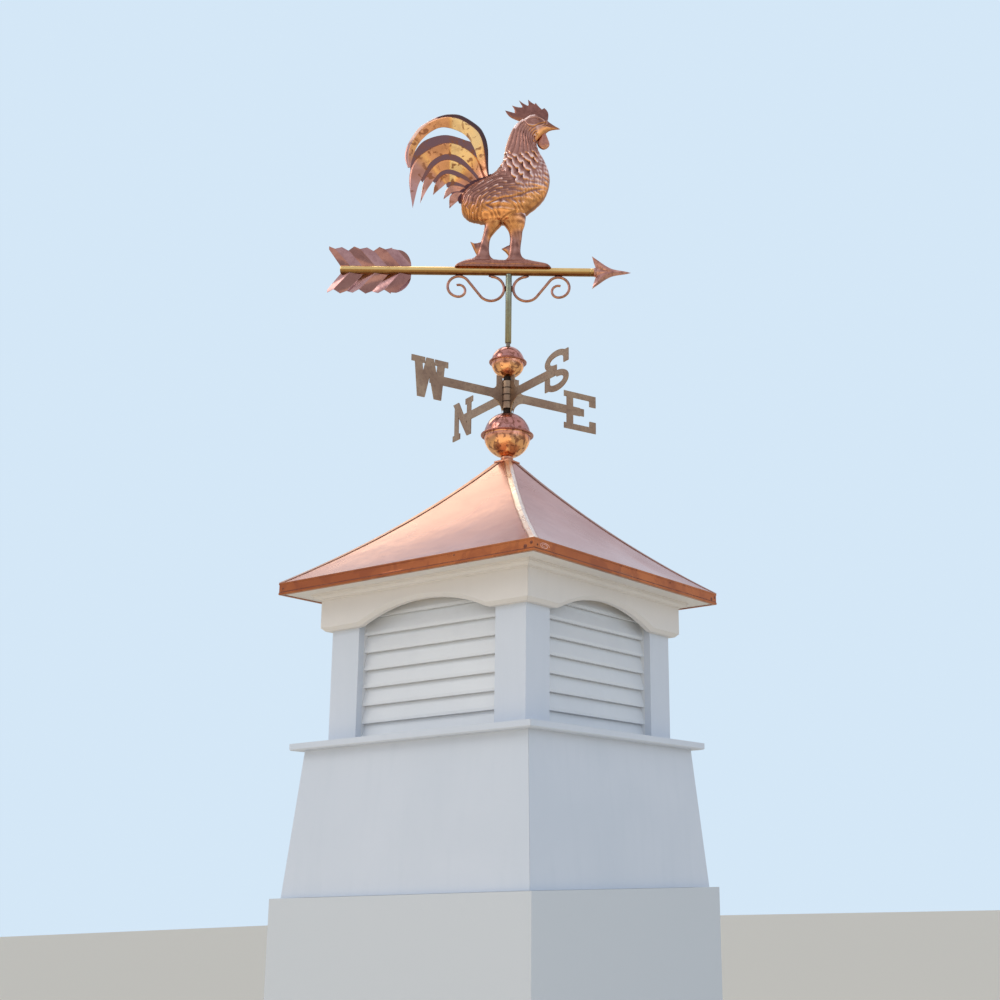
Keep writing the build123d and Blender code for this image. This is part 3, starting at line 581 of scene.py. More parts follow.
# hub_shadow paints shadow on the hub; the warm-lit paint is painted ground light on the boards under the
# eave.
own_finish = {"hub_spacer": hub_shadow, "hub_sleeve": hub_shadow, "crown_mouldings": warm_lit_board_paint,
              "soffit_boards": warm_lit_board_paint, **{"frieze_" + side: warm_lit_board_paint for side in sides}}
for row in frame["record"]["subparts"]:
    dressing = frame["nodes"][row["node"]].data.materials
    dressing.clear()
    dressing.append(own_finish.get(row["node"], finish_of[row["material_slot"]]))

# %% [markdown]
# ## Sizes
#
# Every size below comes from the frame's own sheet metal, in metres. The roof is a square whose half width
# shrinks with height along one concave arc, so a roof panel, a hip strip and the drip band all share it.

# %% Roof sizes and the roof's arc
mm = 0.001
half_eave, eave_height = 411.25 * mm, 782 * mm
half_top, top_height = 22 * mm, 1132 * mm
roof_sag = 19 * mm
sheet = 2 * mm
soffit_height = 753 * mm

foot, head = np.array([half_eave, eave_height]), np.array([half_top, top_height])
chord = head - foot
arc_radius = ((chord @ chord) / 4 + roof_sag ** 2) / (2 * roof_sag)
square_to_chord = np.array([chord[1], -chord[0]]) / np.hypot(*chord)
arc_centre = (foot + head) / 2 + square_to_chord * (arc_radius - roof_sag)
arc_ends = [np.arctan2(*(point - arc_centre)[::-1]) for point in (foot, head)]
print("roof arc radius", round(arc_radius, 3), "m")


def roof_slope(share):
    """The angle on the roof's arc, where share runs from 0 at the eave to 1 at the top."""
    return arc_ends[0] + (arc_ends[1] - arc_ends[0]) * np.asarray(share)


def roof_line(share, depth):
    """(outward, up) on the roof's arc, at a depth under the copper."""
    angle, reach = roof_slope(share), arc_radius + depth
    return arc_centre[0] + reach * np.cos(angle), arc_centre[1] + reach * np.sin(angle)


def quarter_turned(points, quarter):
    """The points turned about the mast by a number of quarter turns."""
    return about_mast(points, quarter * np.pi / 2)


def section_at(outward, up, *rows):
    """Points of a section from rows of (outward, up) in millimetres, counted from a place in metres."""
    return np.array(rows) * mm + [outward, up]


# %% [markdown]
# ## Roof panels
#
# Each panel is one sheet of copper laid over the curved deck and nailed only along its edges. Held like that
# it buckles by a millimetre between the nails, which a roofer calls oil canning. A grid over the panel's
# width and height carries a few slow waves that die out towards the edges; the back of the sheet stays true.

# %% Four panels
buckle, panel_gap, panel_steps = 1.1 * mm, 0.2 * mm, 61


def roof_panel(quarter, phase):
    """A grid across (-1..1) and up (0..1) the panel; waves of sines press it in by up to a millimetre."""
    across, rise = np.meshgrid(np.linspace(-1, 1, panel_steps), np.linspace(0, 1, panel_steps))
    fade = (1 - across ** 4) * np.sin(np.pi * rise) ** 0.5
    wave = np.sin(3.1 * across + 4.0 * rise + phase) * np.sin(5.3 * rise - 2.2 * across + 2 * phase)
    skins = []
    for depth in (buckle * fade * (0.5 + 0.5 * wave), sheet):
        outward, up = roof_line(rise, depth)
        skins.append(quarter_turned(xyz(across * (outward - panel_gap), -outward, up), quarter))
    return closed_sheet(*skins)


for quarter, side in enumerate(sides):
    put_piece("panel_" + side, roof_panel(quarter, 1.7 * quarter), "roof_copper", roof_copper,
              ["roof_panel_" + side])

# %% [markdown]
# ## Hip strips
#
# A folded strip covers each corner of the roof, its two legs lying on the panels and its ridge following the
# arc. It is dressed by hand, so its edges wander a little. The strip at the near corner has a painted
# highlight, the other three painted shade, and all have painted shade along their edges: a value on the mesh
# says how bright each point is.

# %% Four strips in one piece
hip_leg, hip_sheet = 18.4 * mm, 1.6 * mm
hip_across, hip_along = 13, 90
# A painted highlight on the near strip and painted shade on the other three.
hip_painted_light = [1.0, 0.25, 0.4, 0.25]


def hip_strip(quarter):
    """A grid up the hip and over its ridge: the leg's end moves along the panel, away from the corner."""
    over, rise = np.meshgrid(np.linspace(-1, 1, hip_across), np.linspace(0, 1, hip_along))
    leg = hip_leg * (1 - 0.07 * (1 + np.sin(31 * rise + quarter) * np.sin(11 * rise + 2 * quarter)))
    skins = []
    for depth in (-hip_sheet, 0.0):
        outward, up = roof_line(rise, depth)
        outward = np.minimum(outward, half_eave)
        slide = np.minimum(np.abs(over) * leg, outward)
        skins.append(quarter_turned(xyz(outward - np.where(over < 0, slide, 0),
                                        np.where(over > 0, slide, 0) - outward, up), quarter))
    return closed_sheet(*skins)


# Painted shade along both edges of every strip.
edge_painted_shade = np.interp(np.abs(np.linspace(-1, 1, hip_across)), [0, 0.70, 0.86, 1], [1, 0.95, 0.45, 0.08])
put_piece("hip_covers", join_parts(*map(hip_strip, range(4))), "roof_copper", hip_copper, ["hip_strips"],
          relief=np.repeat(hip_painted_light, 2 * hip_along)[:, None] * edge_painted_shade)

# %% [markdown]
# ## Drip band
#
# Round the eave runs a band of copper with a doubled hem at its foot and a lock seam where it meets the
# panels. Its section is a closed line of (outward, up) points, carried round a square. Shallow waves lie
# in the flat face only, between the hem and the seam.

# %% The band round the eave
def squared(section, steps):
    """A closed section of (outward, up) carried round a square, with steps columns on each side."""
    outward, up = np.asarray(section, float).T[:, :, None]
    along = np.tile(np.linspace(-1, 1, steps, endpoint=False), 4)
    points = quarter_turned(xyz(outward * along, -outward, up), np.repeat(np.arange(4), steps))
    return points.reshape(-1, 3), grid_faces(len(section), 4 * steps, True, True)


band_face, band_foot, band_steps = half_eave - 1.0 * mm, soffit_height - sheet, 80
band_section = np.concatenate([
    section_at(half_eave, band_foot, (-9, 2), (-9, 0), (-1.2, 0), (0, 1.2), (0, 5.2), (-1, 6.4), (-1, 12),
               (-1, 20)),
    section_at(half_eave, eave_height, (-1, -5), (0, -4.2), (0, -1), (-1.4, -0.4), (-3, -0.6)),
    section_at(half_eave, soffit_height, (-3, 0))])
flat_rows = slice(6, 9)
points, faces = squared(band_section, band_steps)
rings = points.reshape(len(band_section), -1, 3)
around = np.arange(4 * band_steps) / band_steps
waves = 0.5 + 0.5 * np.sin(23 * around) * np.sin(9 * around + 1)
dent = 0.6 * mm * np.sin(np.pi * (around % 1)) ** 2 * waves
flat = rings[flat_rows, :, :2]
flat -= flat / np.abs(flat).max(axis=-1, keepdims=True) * dent[None, :, None]
put_piece("drip_band", (points, faces), "roof_copper", band_copper, ["drip_bands"])

# %% [markdown]
# ## Cap and globes
#
# The top of the roof is closed by a small square cap with a soldered collar. Above it sit two globes, each
# spun in two halves from sheet copper and crimped together at a flange. A turned profile gives each one;
# spinning and handling leave shallow dents, which are slow waves over the globe's angle and height.

# %% The cap on the roof's top
rod_bore = 6.3 * mm
cap_top, seat = 1138 * mm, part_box("roof_cap")[1][2]
plate = squared(section_at(0, top_height, (17.5, 0), (23.6, 0), (25, 0.8), (25, 3.6), (23.8, 5), (17.5, 6),
                           (13.75, 6)), 8)
collar = np.concatenate([
    [(rod_bore, top_height + mm), (14 * mm, top_height + mm)],
    section_at(0, cap_top, (19.6, 0), (18.4, 1.2), (17, 3), (17, 4.6), (16.2, 5), (17, 5.6)),
    [(17 * mm, seat - 0.8 * mm), (16.2 * mm, seat), (rod_bore, seat)]])
put_piece("roof_cap_and_collar", join_parts(plate, turned(collar)), "roof_copper", cap_copper, ["roof_cap"])

# %% Two globes
globe_arc, globe_around = 40, 144
lip = 1.75 * mm
low_flange, high_flange = 72 * mm, 52 * mm


def middle_of(node):
    """The height of the middle of a node of the frame."""
    low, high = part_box(node)
    return (low[2] + high[2]) / 2


def spun_globe(radius, flange, height, low_seat, high_seat, dents):
    """A turned shell: arcs from seat to seat, parted in the middle by a flange; dents press inwards."""
    low, high = np.arcsin(low_seat / radius), np.arcsin(high_seat / radius)
    start = np.arcsin(lip / radius) + 0.02
    lower, upper = [radius * np.stack([np.cos(angle), np.sin(angle)], axis=-1)
                    for angle in (np.linspace(low - np.pi / 2, -start, globe_arc),
                                  np.linspace(start, np.pi / 2 - high, globe_arc))]
    rim = section_at(flange, 0, (-1.2, -1.75), (-0.3, -1.1), (-0.8, -0.3), (-2.5, 0), (-0.8, 0.3), (0, 0.9),
                     (-0.9, 1.75))
    root = radius + 0.5 * mm
    profile = np.concatenate([lower, [(root, -lip)], rim, [(root, lip)], upper,
                              [(rod_bore, upper[-1, 1]), (rod_bore, lower[0, 1])]])
    points, faces = turned(profile + [0, height], globe_around)
    x, y, z = points.T
    angle, rise = np.arctan2(y, x), (z - height) / radius
    wave = np.sin(3 * angle + 2 * np.sin(4 * rise)) * np.sin(5 * rise + dents)
    wave = wave + np.sin(7 * angle - 5 * rise + dents)
    press = 1 - 0.0035 * (2 + wave) * np.clip(1 - rise ** 2, 0, 1) * (np.abs(rise) > 1.3 * lip / radius)
    return xyz(x * press, y * press, z), faces


lower_centre, upper_centre = middle_of("lower_globe"), middle_of("upper_globe")
print("globes at", round(lower_centre, 4), round(upper_centre, 4))
low_globe = spun_globe(64 * mm, low_flange, lower_centre, 17 * mm, 12 * mm, 0.4)
high_globe = spun_globe(46 * mm, high_flange, upper_centre, 12 * mm, 12 * mm, 2.1)
put_piece("globe_low", low_globe, "globe_copper", globe_copper, ["lower_globe"], crease=50)
put_piece("globe_high", high_globe, "globe_copper", globe_copper, ["upper_globe"], crease=50)

# %% [markdown]
# Where the halves of a globe meet, the edge of one is folded over the other and hammered flat. That rim is
# darker than the ball, so it is a ring of its own over the flange, with the notch between the two plies.

# %% Crimped rims
def crimped_rim(flange, height):
    """The folded edge that holds two half globes together: a flat ring with a notch all round."""
    lower = [(-6.2, -2.3), (-0.9, -2.3), (0, -1.15), (-0.6, -0.2)]
    upper = [(outward, -up) for outward, up in reversed(lower)]
    return turned(section_at(flange, height, *lower, *upper), globe_around)


rims = [crimped_rim(low_flange, lower_centre), crimped_rim(high_flange, upper_centre)]
put_piece("globe_rims", join_parts(*rims), "globe_copper", crimp_copper, crease=50)

# %% [markdown]
# ## The vane's own frame
#
# Everything that turns is drawn in millimetres, in three directions: along the arrow, across it and up from
# its centre. One function places such points on the cupola, where the arrow rests at its angle, and another
# files a piece of them on the vane.

# %% Pieces on the vane
vane_turn = np.radians(36)
arrow_height = middle_of("arrow_tube")
print("the arrow lies", round(arrow_height, 4), "m up")


def put_on_vane(name, part, slot, material, stands_for=(), **extra):
    """Files a part drawn in the vane's own frame, placed where the arrow rests."""
    points, faces = part
    points = about_mast(points * mm, vane_turn) + [0, 0, arrow_height]
    put_piece(name, (points, faces), slot, material, stands_for, body="vane", **extra)


def lengthwise(part):
    """A turned part laid down: what was its axis runs along the arrow."""
    points, faces = part
    return points[:, [2, 0, 1]], faces


# %% [markdown]
# ## Tubes
#
# The arrow is a brass tube with a plug in its tail and a soldered ferrule where the head begins; the upright
# tube slips over the mast and ends in a collar under the arrow. Both are turned profiles.

# %% Arrow tube and upright tube
tube_tail, tube_radius = -470, 12
tube_line = [(0, tube_tail), (9.6, tube_tail), (11.2, -469.2), (tube_radius, -467.6), (tube_radius, -300),
             (tube_radius, 0), (tube_radius, 228), (tube_radius, 231), (11.4, 232), (tube_radius, 233),
             (tube_radius, 243), (0, 243)]
put_on_vane("arrow_shaft", lengthwise(turned(tube_line, 48, closed=False)), "brass_plate", tube_brass,
            ["arrow_tube"], crease=50)
upright_line = [(6.3, -217.6), (8.1, -217.6), (8.75, -216.8), (8.75, -30), (8.75, -18), (8.75, -10.2),
                (6.3, -10.2)]
put_on_vane("vane_sleeve", turned(upright_line, 48), "brass_plate", olive_brass, ["vane_tube"], crease=50)

# %% [markdown]
# ## Arrow head
#
# Two pressed halves make the head. Its back edges sweep to the barbs and its front edges are hollow arcs.
# Between them the sheet swells a little, with a spine along the middle that thins out towards the tip.

# %% The pressed head
head_half, head_back, head_tip = 50, 247, 346
front_line = [(head_tip, 0), (326, 4.8), (306, 8.2), (290, 12.6), (274, 21.5), (256, 35), (236, head_half)]
ferrule_line = [(12.0, 240.5), (13.2, 241.5), (13.4, 244), (12.6, 246.5), (10, 249), (10, 240.5)]


def arrow_head():
    """A grid from back edge to front edge at each height; straight slopes swell it to a spine and barbs."""
    up = np.linspace(-head_half, head_half, 121)[:, None]
    front = smooth_line(front_line, 80)
    front_edge = np.interp(np.abs(up), front[:, 1], front[:, 0])
    back_edge = np.interp(np.abs(up), [0, 12, 30, head_half], [head_back, head_back, 241, 236])
    share = np.linspace(0, 1, 41)
    along = back_edge + (front_edge - back_edge) * share
    reach = np.clip(1 - (along - head_back) / (head_tip - head_back), 0, 1)
    spine = 6.0 * reach * np.clip(1 - np.abs(up) / (3 + 10 * reach), 0, 1)
    barb = 6.4 * np.clip(1 - np.abs(share - 0.5) / 0.5, 0, 1) * np.clip(1.25 - np.abs(up) / head_half, 0, 1)
    half = np.minimum(1.2 + np.maximum(spine, barb), 7.4)
    return closed_sheet(xyz(along, -half, up), xyz(along, half, up))


put_on_vane("head_of_arrow", join_parts(arrow_head(), lengthwise(turned(ferrule_line, 40))), "arrow_copper",
            head_copper, ["arrow_head"], crease=40)

# %% [markdown]
# ## Flights
#
# The flights are corrugated sheet, folded on slanting lines and cut with a toothed edge. Working columns run
# along the arrow; each point's slanting coordinate gives its place in a triangle wave, which is the fold.

# %% Folded flights
flight_tail, flight_length, flight_half = -504.0, 230.0, 70.5
fold_length, fold_depth, fold_slant = 70.0, 6.0, np.radians(40)
tooth_length, tooth_depth, nose_length, root_height = 35, 9, 55, 11


def triangle(place):
    """A wave of straight lines between -1 and 1, one period for each whole number."""
    return 4 * np.abs(place - np.floor(place + 0.5)) - 1


def flight(side):
    """A grid of columns from the tube to the toothed edge; the sheet's middle follows the folds."""
    along = np.linspace(0, flight_length, 231)
    tooth = flight_half - tooth_depth * 0.5 * (1 - triangle(along / tooth_length + 0.5))
    nose = np.clip((along - (flight_length - nose_length)) / nose_length, 0, 1)
    round_nose = tube_radius + (flight_half - 4 - tube_radius) * np.sqrt(np.clip(1 - nose ** 2.6, 0, 1))
    edge = np.where(nose > 0, round_nose, tooth)
    behind_tube = np.clip(tube_tail - flight_tail - along, 0, None) / (tube_tail - flight_tail)
    root = root_height + behind_tube * (flight_half - tooth_depth - root_height)
    up = root + (np.maximum(edge, root + 0.5) - root) * np.linspace(0, 1, 31)[:, None]
    place = (along + up * np.tan(fold_slant)) / fold_length
    across = fold_depth * triangle(place) + 0.5 * np.sin(0.11 * up + 0.05 * (along + flight_tail))
    return closed_sheet(*[xyz(along + flight_tail, across + half, side * up) for half in (-0.8, 0.8)])


put_on_vane("folded_flights", join_parts(flight(1), flight(-1)), "arrow_copper", flight_copper,
            ["arrow_flights"], crease=12)

# %% [markdown]
# ## Scrolls
#
# Under the arrow two waves of round rod are welded to both tubes. The rod's middle line is made of arcs: an
# open loop by the upright tube, a straight run, and a curl that tightens. Small beads of weld join them.

# %% Two waves of rod
loop_radius, curl_radius, last_radius = 37, 31, 18
rod_radius, rod_taper = 3.95, 0.5


def arc_points(centre, radius, start, sweep, count):
    """Points on an arc, from a start angle over a sweep, both in degrees."""
    angle = np.radians(start + sweep * np.linspace(0, 1, count))
    return np.stack([centre[0] + radius * np.cos(angle), centre[1] + radius * np.sin(angle)], axis=-1)


def scroll(side):
    """A round section carried along the arcs, with a slight taper over its last turn."""
    loop, curl = np.array([49.95, -53.2]), np.array([140.0, -47.2])
    gap = curl - loop
    leave = np.degrees(np.arctan2(gap[1], gap[0]) - np.arccos((loop_radius + curl_radius) / np.hypot(*gap)))
    line = np.concatenate([arc_points(loop, loop_radius, 90, leave + 270, 90),
                           arc_points(curl, curl_radius, leave + 180, -(leave + 180) - 90, 90),
                           arc_points(curl - [0, curl_radius - last_radius], last_radius, -90, -200,
                                      50)[1:]])
    run, rise = np.gradient(line, axis=0).T
    length = np.hypot(run, rise)
    angle = full_circle(14)
    size = rod_radius - rod_taper * np.linspace(0, 1, len(line)) ** 4
    sections = size[:, None, None] * np.stack([np.cos(angle), np.sin(angle)], axis=-1)
    return carried(xyz(side * line[:, 0], 0, line[:, 1]), [0.0, 1.0, 0.0],
                   xyz(side * -rise / length, 0, run / length), sections)


put_on_vane("scroll_rods", join_parts(scroll(-1), scroll(1)), "arrow_copper", scroll_copper, ["scrollwork"])

# %% [markdown]
# A bead of weld is metal that ran and froze, never quite round. A ball whose radius waves a little looks so,
# and at this size nothing finer shows. Each bead sits where a rod touches a tube.

# %% Beads of weld
bead_rows, bead_columns = 15, 22
bead_places = ((10.8, -53, (4, 4, 9)), (50, -14.5, (7, 3.5, 3.4)), (140, -14.5, (11, 3.5, 3.4)))


def weld_bead(along, up, radii):
    """A lumpy ball of weld: a sphere whose radius waves a little, stretched along three directions."""
    rise, angle = np.linspace(-np.pi / 2, np.pi / 2, bead_rows)[:, None], full_circle(bead_columns)
    lump = 1 + 0.07 * np.sin(3 * angle + 2 * rise) * np.cos(rise)
    points = xyz(np.cos(rise) * np.cos(angle), np.cos(rise) * np.sin(angle), np.sin(rise)) * lump[..., None]
    points = (points * radii + [along, 0, up]).reshape(-1, 3)
    return points, grid_faces(bead_rows, bead_columns, join_columns=True)


beads = [weld_bead(side * along, up, radii) for side in (-1, 1) for along, up, radii in bead_places]
put_on_vane("weld_beads", join_parts(*beads), "arrow_copper", dark_solder)

# %% [markdown]
# ## The rooster's body
#
# The bird is pressed from two sheets. Its form is a run of ellipse-like sections, each set by a point on the
# back, a point on the breast or belly, and a half width; the surface flows smoothly through them from the
# rump over the breast and the neck to the beak.

# %% The smooth form
body_sections = [
    (-138, 226, -139, 204, 6), (-133, 243, -134, 176, 23), (-118, 261, -117, 157, 32),
    (-90, 279, -90, 150, 39), (-60, 295, -50, 146, 44), (-34, 320, 8, 152, 47), (-20, 352, 62, 188, 46),
    (-16, 382, 102, 232, 42), (-10, 408, 117, 288, 36), (-1, 436, 105, 336, 31), (12, 460, 84, 378, 27),
    (34, 482, 78, 406, 24), (67, 502, 90, 426, 21), (98, 494, 108, 446, 14), (113, 479, 117, 451, 8),
    (130, 466, 130, 454, 5), (144, 457.5, 144, 455, 1)]
body_rings, body_around = 420, 224
line = smooth_line(body_sections, body_rings)
back, belly, half_width = line[:, 0:2, None], line[:, 2:4, None], np.clip(line[:, 4:], 0.8, None)
stage = np.linspace(0, len(body_sections) - 1, body_rings)[:, None]
angle = full_circle(body_around)[None]
side_x, side_z = np.moveaxis((back + belly) / 2 + (back - belly) / 2 * np.cos(angle), 1, 0)
form = xyz(side_x, half_width * np.sign(np.sin(angle)) * np.abs(np.sin(angle)) ** 0.85, side_z)
down = (1 - np.cos(angle)) / 2
print("body grid", form.shape)

# %% [markdown]
# Over that form lie the feathers. Each kind is a pattern between 0 and 1: ribs on the neck and scallops on
# the shoulder follow the body's own coordinates, how far along the sections and how far down from the back.
# The long feathers of the rump sweep round with its outline, so they are arcs about a point inside the body.

# %% Patterns of feathers
def between(value, start, stop, soft=0.4):
    """1 between start and stop, falling smoothly to 0 outside them."""
    rise = np.clip((value - start) / soft + 0.5, 0, 1)
    fall = np.clip((stop - value) / soft + 0.5, 0, 1)
    return (rise * rise * (3 - 2 * rise)) * (fall * fall * (3 - 2 * fall))


def scallops(along, over):
    """Overlapping round scales: each row shifts by half, and a scale rises towards its round tip."""
    row = np.floor(along)
    side = np.mod(over + 0.5 * np.mod(row, 2), 1) - 0.5
    tip = np.sqrt(np.clip(1 - (side / 0.6) ** 2, 0, 1)) + 1e-3
    vein = 0.15 * np.exp(-(side / 0.06) ** 2)
    return np.where(along - row < tip, 0.10 + 0.90 * ((along - row) / tip) ** 1.3 - vein, 0.0)


def long_feathers(lanes, run):
    """Ridges side by side; each lane has its tips at places of its own along the run."""
    tips = np.mod(run + 0.37 * np.floor(lanes), 1)
    return np.abs(np.sin(np.pi * lanes)) ** 0.8 * (0.35 + 0.65 * tips ** 1.5)


def crumpled(x, z, pitch):
    """Short leaf-like lumps: two slanting waves, each bent by a slower one, multiplied together."""
    bend = 0.5 * np.sin(0.06 * x + 0.09 * z) + 0.4 * np.sin(0.11 * x - 0.05 * z)
    rising, falling = (0.55 * x + z) / pitch + 2.2 * bend, (x - 0.7 * z) / (1.7 * pitch) + 3.0 * bend
    return 0.5 + 0.5 * np.sin(rising) * np.sin(falling)


# %% [markdown]
# First comes where each kind lies, and round the eye a ring that keeps the neck's ribs out. Then each kind is
# worked out everywhere and counted where it lies; the face has folds round its eye instead of feathers.

# %% Where each kind lies
rump_x, rump_z = 4, 168
eye_x, eye_z = 72, 470
reach = np.hypot((side_x - rump_x) / 1.2, side_z - rump_z)
sweep = np.degrees(np.arctan2(side_z - rump_z, rump_x - side_x))
eye_ring = np.hypot((side_x - eye_x) / 25, (side_z - eye_z) / 14)
rib_foot = 352 + 0.3 * np.clip(side_x - 20, 0, None)
on_neck = between(side_z, rib_foot, 600, 9) * between(stage, 7, 11.7, 0.35) * between(down, -1, 0.8, 0.1)
on_neck = on_neck * between(eye_ring, 1.3, 90, 0.3)
on_shoulder = between(stage, 5.2 + 1.2 * down, 12, 0.35) * between(down, -1, 0.28 + 0.055 * stage, 0.12)
on_shoulder = on_shoulder * (1 - on_neck)
before_rump = between(side_x, -70, 200, 16) * between(side_z, 0, 200, 16)
on_rump = between(sweep, -40, 104, 16) * between(reach, 56, 400, 40) * (1 - before_rump)
on_rump = on_rump * (1 - on_shoulder) * (1 - on_neck)
on_breast = np.clip(1 - on_neck - on_shoulder - on_rump, 0, 1)
on_thigh = between(side_x, -78, 66, 20) * between(side_z, 100, 206, 16)
on_face = np.maximum(between(stage, 11.6, 20, 0.5), between(eye_ring, -1, 1.3, 0.3))
print("share of the grid that is neck:", round(float(on_neck.mean()), 3))

# %% Feathers and face
wander = 0.25 * np.sin(3.1 * stage + 9 * down) + 0.2 * np.sin(1.7 * stage - 14 * down)
ribs = np.abs(np.sin(np.pi * (10.5 * down + 0.12 * np.sin(1.3 * stage)))) ** 0.7
shoulder = scallops((8.7 - stage) * 1.75 + 0.2 * wander, down * 6.6 + 0.6 * wander)
rump = long_feathers(reach / 7.5 + 1.2 * wander, sweep / 34 + 0.4 * wander)
rump = rump * (0.55 + 0.45 * crumpled(side_x, side_z, 5.5))
breast = 0.24 + 0.44 * crumpled(side_x, side_z, 3.2) + 0.26 * crumpled(side_z, side_x, 1.7)
breast = breast * (1 - on_thigh) + crumpled(side_x, side_z, 4.4) * on_thigh
feathers = (0.92 * ribs + 0.05) * on_neck + shoulder * on_shoulder + rump * on_rump + breast * on_breast
folds = 0.5 * np.exp(-((eye_ring - 1.12) / 0.09) ** 2) + 0.36 * np.exp(-((eye_ring - 1.42) / 0.08) ** 2)
lid = 0.16 * between(eye_ring, -1, 0.9, 0.2) * np.sin(4.5 * eye_ring) ** 2
cheek = 0.16 + 0.42 * between(side_z, 300, 460, 8)
feathers = feathers * (1 - on_face) + np.maximum(cheek, 0.2 + folds + lid) * on_face
print("mean height of the feathers:", round(float(feathers.mean()), 3))

# %% [markdown]
# A few lines are pressed in deeper: the lower edge of the wing, the fold of the thigh, the jaw, the mouth and
# the foot of the comb. Each is a smooth line on the bird's side, and the nearer a point of the body lies to
# it, the less is left of the feathers. The two halves meet in a plain seam along the back and the belly.

# %% Creases of wing, thigh, jaw, beak and comb
def even_line(points, count):
    """A smooth line through the points, with its samples at even distances."""
    drawn = smooth_line(points, 400)
    run = np.concatenate([[0], np.cumsum(np.hypot(*np.diff(drawn, axis=0).T))])
    place = np.linspace(0, run[-1], count)
    return np.stack([np.interp(place, run, column) for column in drawn.T], axis=-1)


def crease(width, *points):
    """1 on a line drawn on the bird's side, as (along, up), fading over its width and past its ends."""
    drawn = even_line(points, 60)
    gap = np.min(np.hypot(side_x[..., None] - drawn[:, 0], side_z[..., None] - drawn[:, 1]), axis=-1)
    return np.exp(-(gap / width) ** 2)


wing = crease(1.9, (-62, 190), (-20, 208), (4, 212), (34, 222), (65, 239), (88, 247))
thigh_fold = crease(1.7, (-29, 147), (2, 168), (22, 176))
jaw = crease(2.0, (40, 484), (47, 462), (64, 450), (86, 462), (104, 470))
mouth = crease(1.2, (104, 462), (124, 460), (142, 456))
comb_foot = crease(1.8, (36, 482), (54, 491), (70, 494), (86, 490), (104, 481))
cuts = np.max([wing, 0.8 * thigh_fold, 0.7 * jaw, mouth, 0.9 * comb_foot], axis=0)
# The seam darkens the outline, more towards the belly: the seam's own hollow, and painted shade below.
seam = np.exp(-(np.abs(np.sin(angle)) / 0.24) ** 4) * (0.45 + 0.5 * down)
relief = np.clip(feathers * (1 - 0.95 * cuts) * (1 - seam), 0, 1)
print("relief from", relief.min(), "to", round(float(relief.max()), 3))

# %% [markdown]
# The relief lifts the surface along its own outward direction, by up to three millimetres. Its colour follows
# the same relief, evened out on the neck. On the shoulder it is raised so that the painted highlights on the
# scale tips grow wider, and along the nape it is a painted highlight.

# %% The embossed bird
outward = np.cross(np.gradient(form, axis=0), np.roll(form, -1, axis=1) - np.roll(form, 1, axis=1))
outward /= np.linalg.norm(outward, axis=-1, keepdims=True) + 1e-9
outward *= np.sign(np.sum(outward * (form - form.mean(axis=1, keepdims=True)), axis=-1, keepdims=True))
lift = (2.8 + 0.6 * on_shoulder) * (relief - 0.6) - 1.2 * np.max([wing, jaw, comb_foot], axis=0) - 0.6 * mouth
form = form + outward * (lift * np.clip(half_width / 8, 0, 1))[..., None]
# A painted highlight along the nape, and wider painted highlights on the shoulder's scales.
nape_highlight = between(down, -1, 0.13, 0.1) * between(stage, 9.6, 12.2, 0.6)
shade = np.maximum(relief * (1 - on_neck) + (0.20 + 0.36 * relief) * on_neck, nape_highlight)
shade = shade * (1 - on_shoulder) + shade ** 0.7 * on_shoulder
put_on_vane("bird", capped(form), "rooster_copper", bird_copper, ["rooster_body"],
            relief=np.concatenate([shade[:1], shade, shade[-1:]]), crease=70)

# %% [markdown]
# ## Legs, spurs and mound
#
# Both legs stand on a long mound that sits astride the arrow's tube. A leg is a run of ovals given by its
# back and front edge at each height; a spur is a blunt three-sided fan, thickest in its middle; the mound is
# a rounded ridge that runs out thin.

# %% Ovals and fans
def upright_form(*edges, samples=60):
    """A run of ovals between rows of (back edge, front edge, height, half thickness)."""
    left, right, up, half = smooth_line(edges, samples).T[..., None]
    angle = full_circle(40)
    over = np.abs(np.sin(angle)) ** 0.8 * np.sign(np.sin(angle))
    sections = np.stack([(right - left) / 2 * np.cos(angle), half * over], axis=-1)
    return carried(xyz((left + right) / 2, 0, up)[:, 0], [1.0, 0, 0], [0, 1.0, 0], sections)


def fan_plate(outline, middle, thickness, rows=16):
    """Rings from a middle point to an outline; thickness gives the half thickness by share of the way."""
    outline, middle = np.asarray(outline, float), np.asarray(middle, float)
    share = np.linspace(0, 1, rows)
    share = np.concatenate([share, share[-2::-1]])[:, None]
    along, up = np.moveaxis(middle + (outline - middle) * share[..., None], -1, 0)
    side = np.concatenate([-np.ones(rows), np.ones(rows - 1)])[:, None]
    half = thickness(share, np.linspace(0, 1, len(outline)))
    return (xyz(along, np.where(share < 1, side * half, 0), up).reshape(-1, 3),
            grid_faces(2 * rows - 1, len(outline), join_columns=True))


def spur(*corners, thickness=7):
    """A fan with three curved sides; each side bends through the point between two corners."""
    rounds = [corners[start:start + 3] for start in (0, 2)] + [(*corners[4:], corners[0])]
    edge = np.concatenate([smooth_line(points, 14)[:-1] for points in rounds])
    return fan_plate(edge, edge.mean(axis=0),
                     lambda share, run: thickness * np.sqrt(1.02 - share ** 2), rows=10)


print("points of a small spur:", len(spur((0, 0), (1, 2), (2, 3), (3, 2), (4, 0), (2, -1))[0]))

# %% [markdown]
# The thighs are broad where they leave the body and narrow to thin shanks, and the feet spread along the
# mound. Thigh and shank are crumpled by two pitches of the same pattern; the seam of the two halves leaves a
# plain strip in the middle.

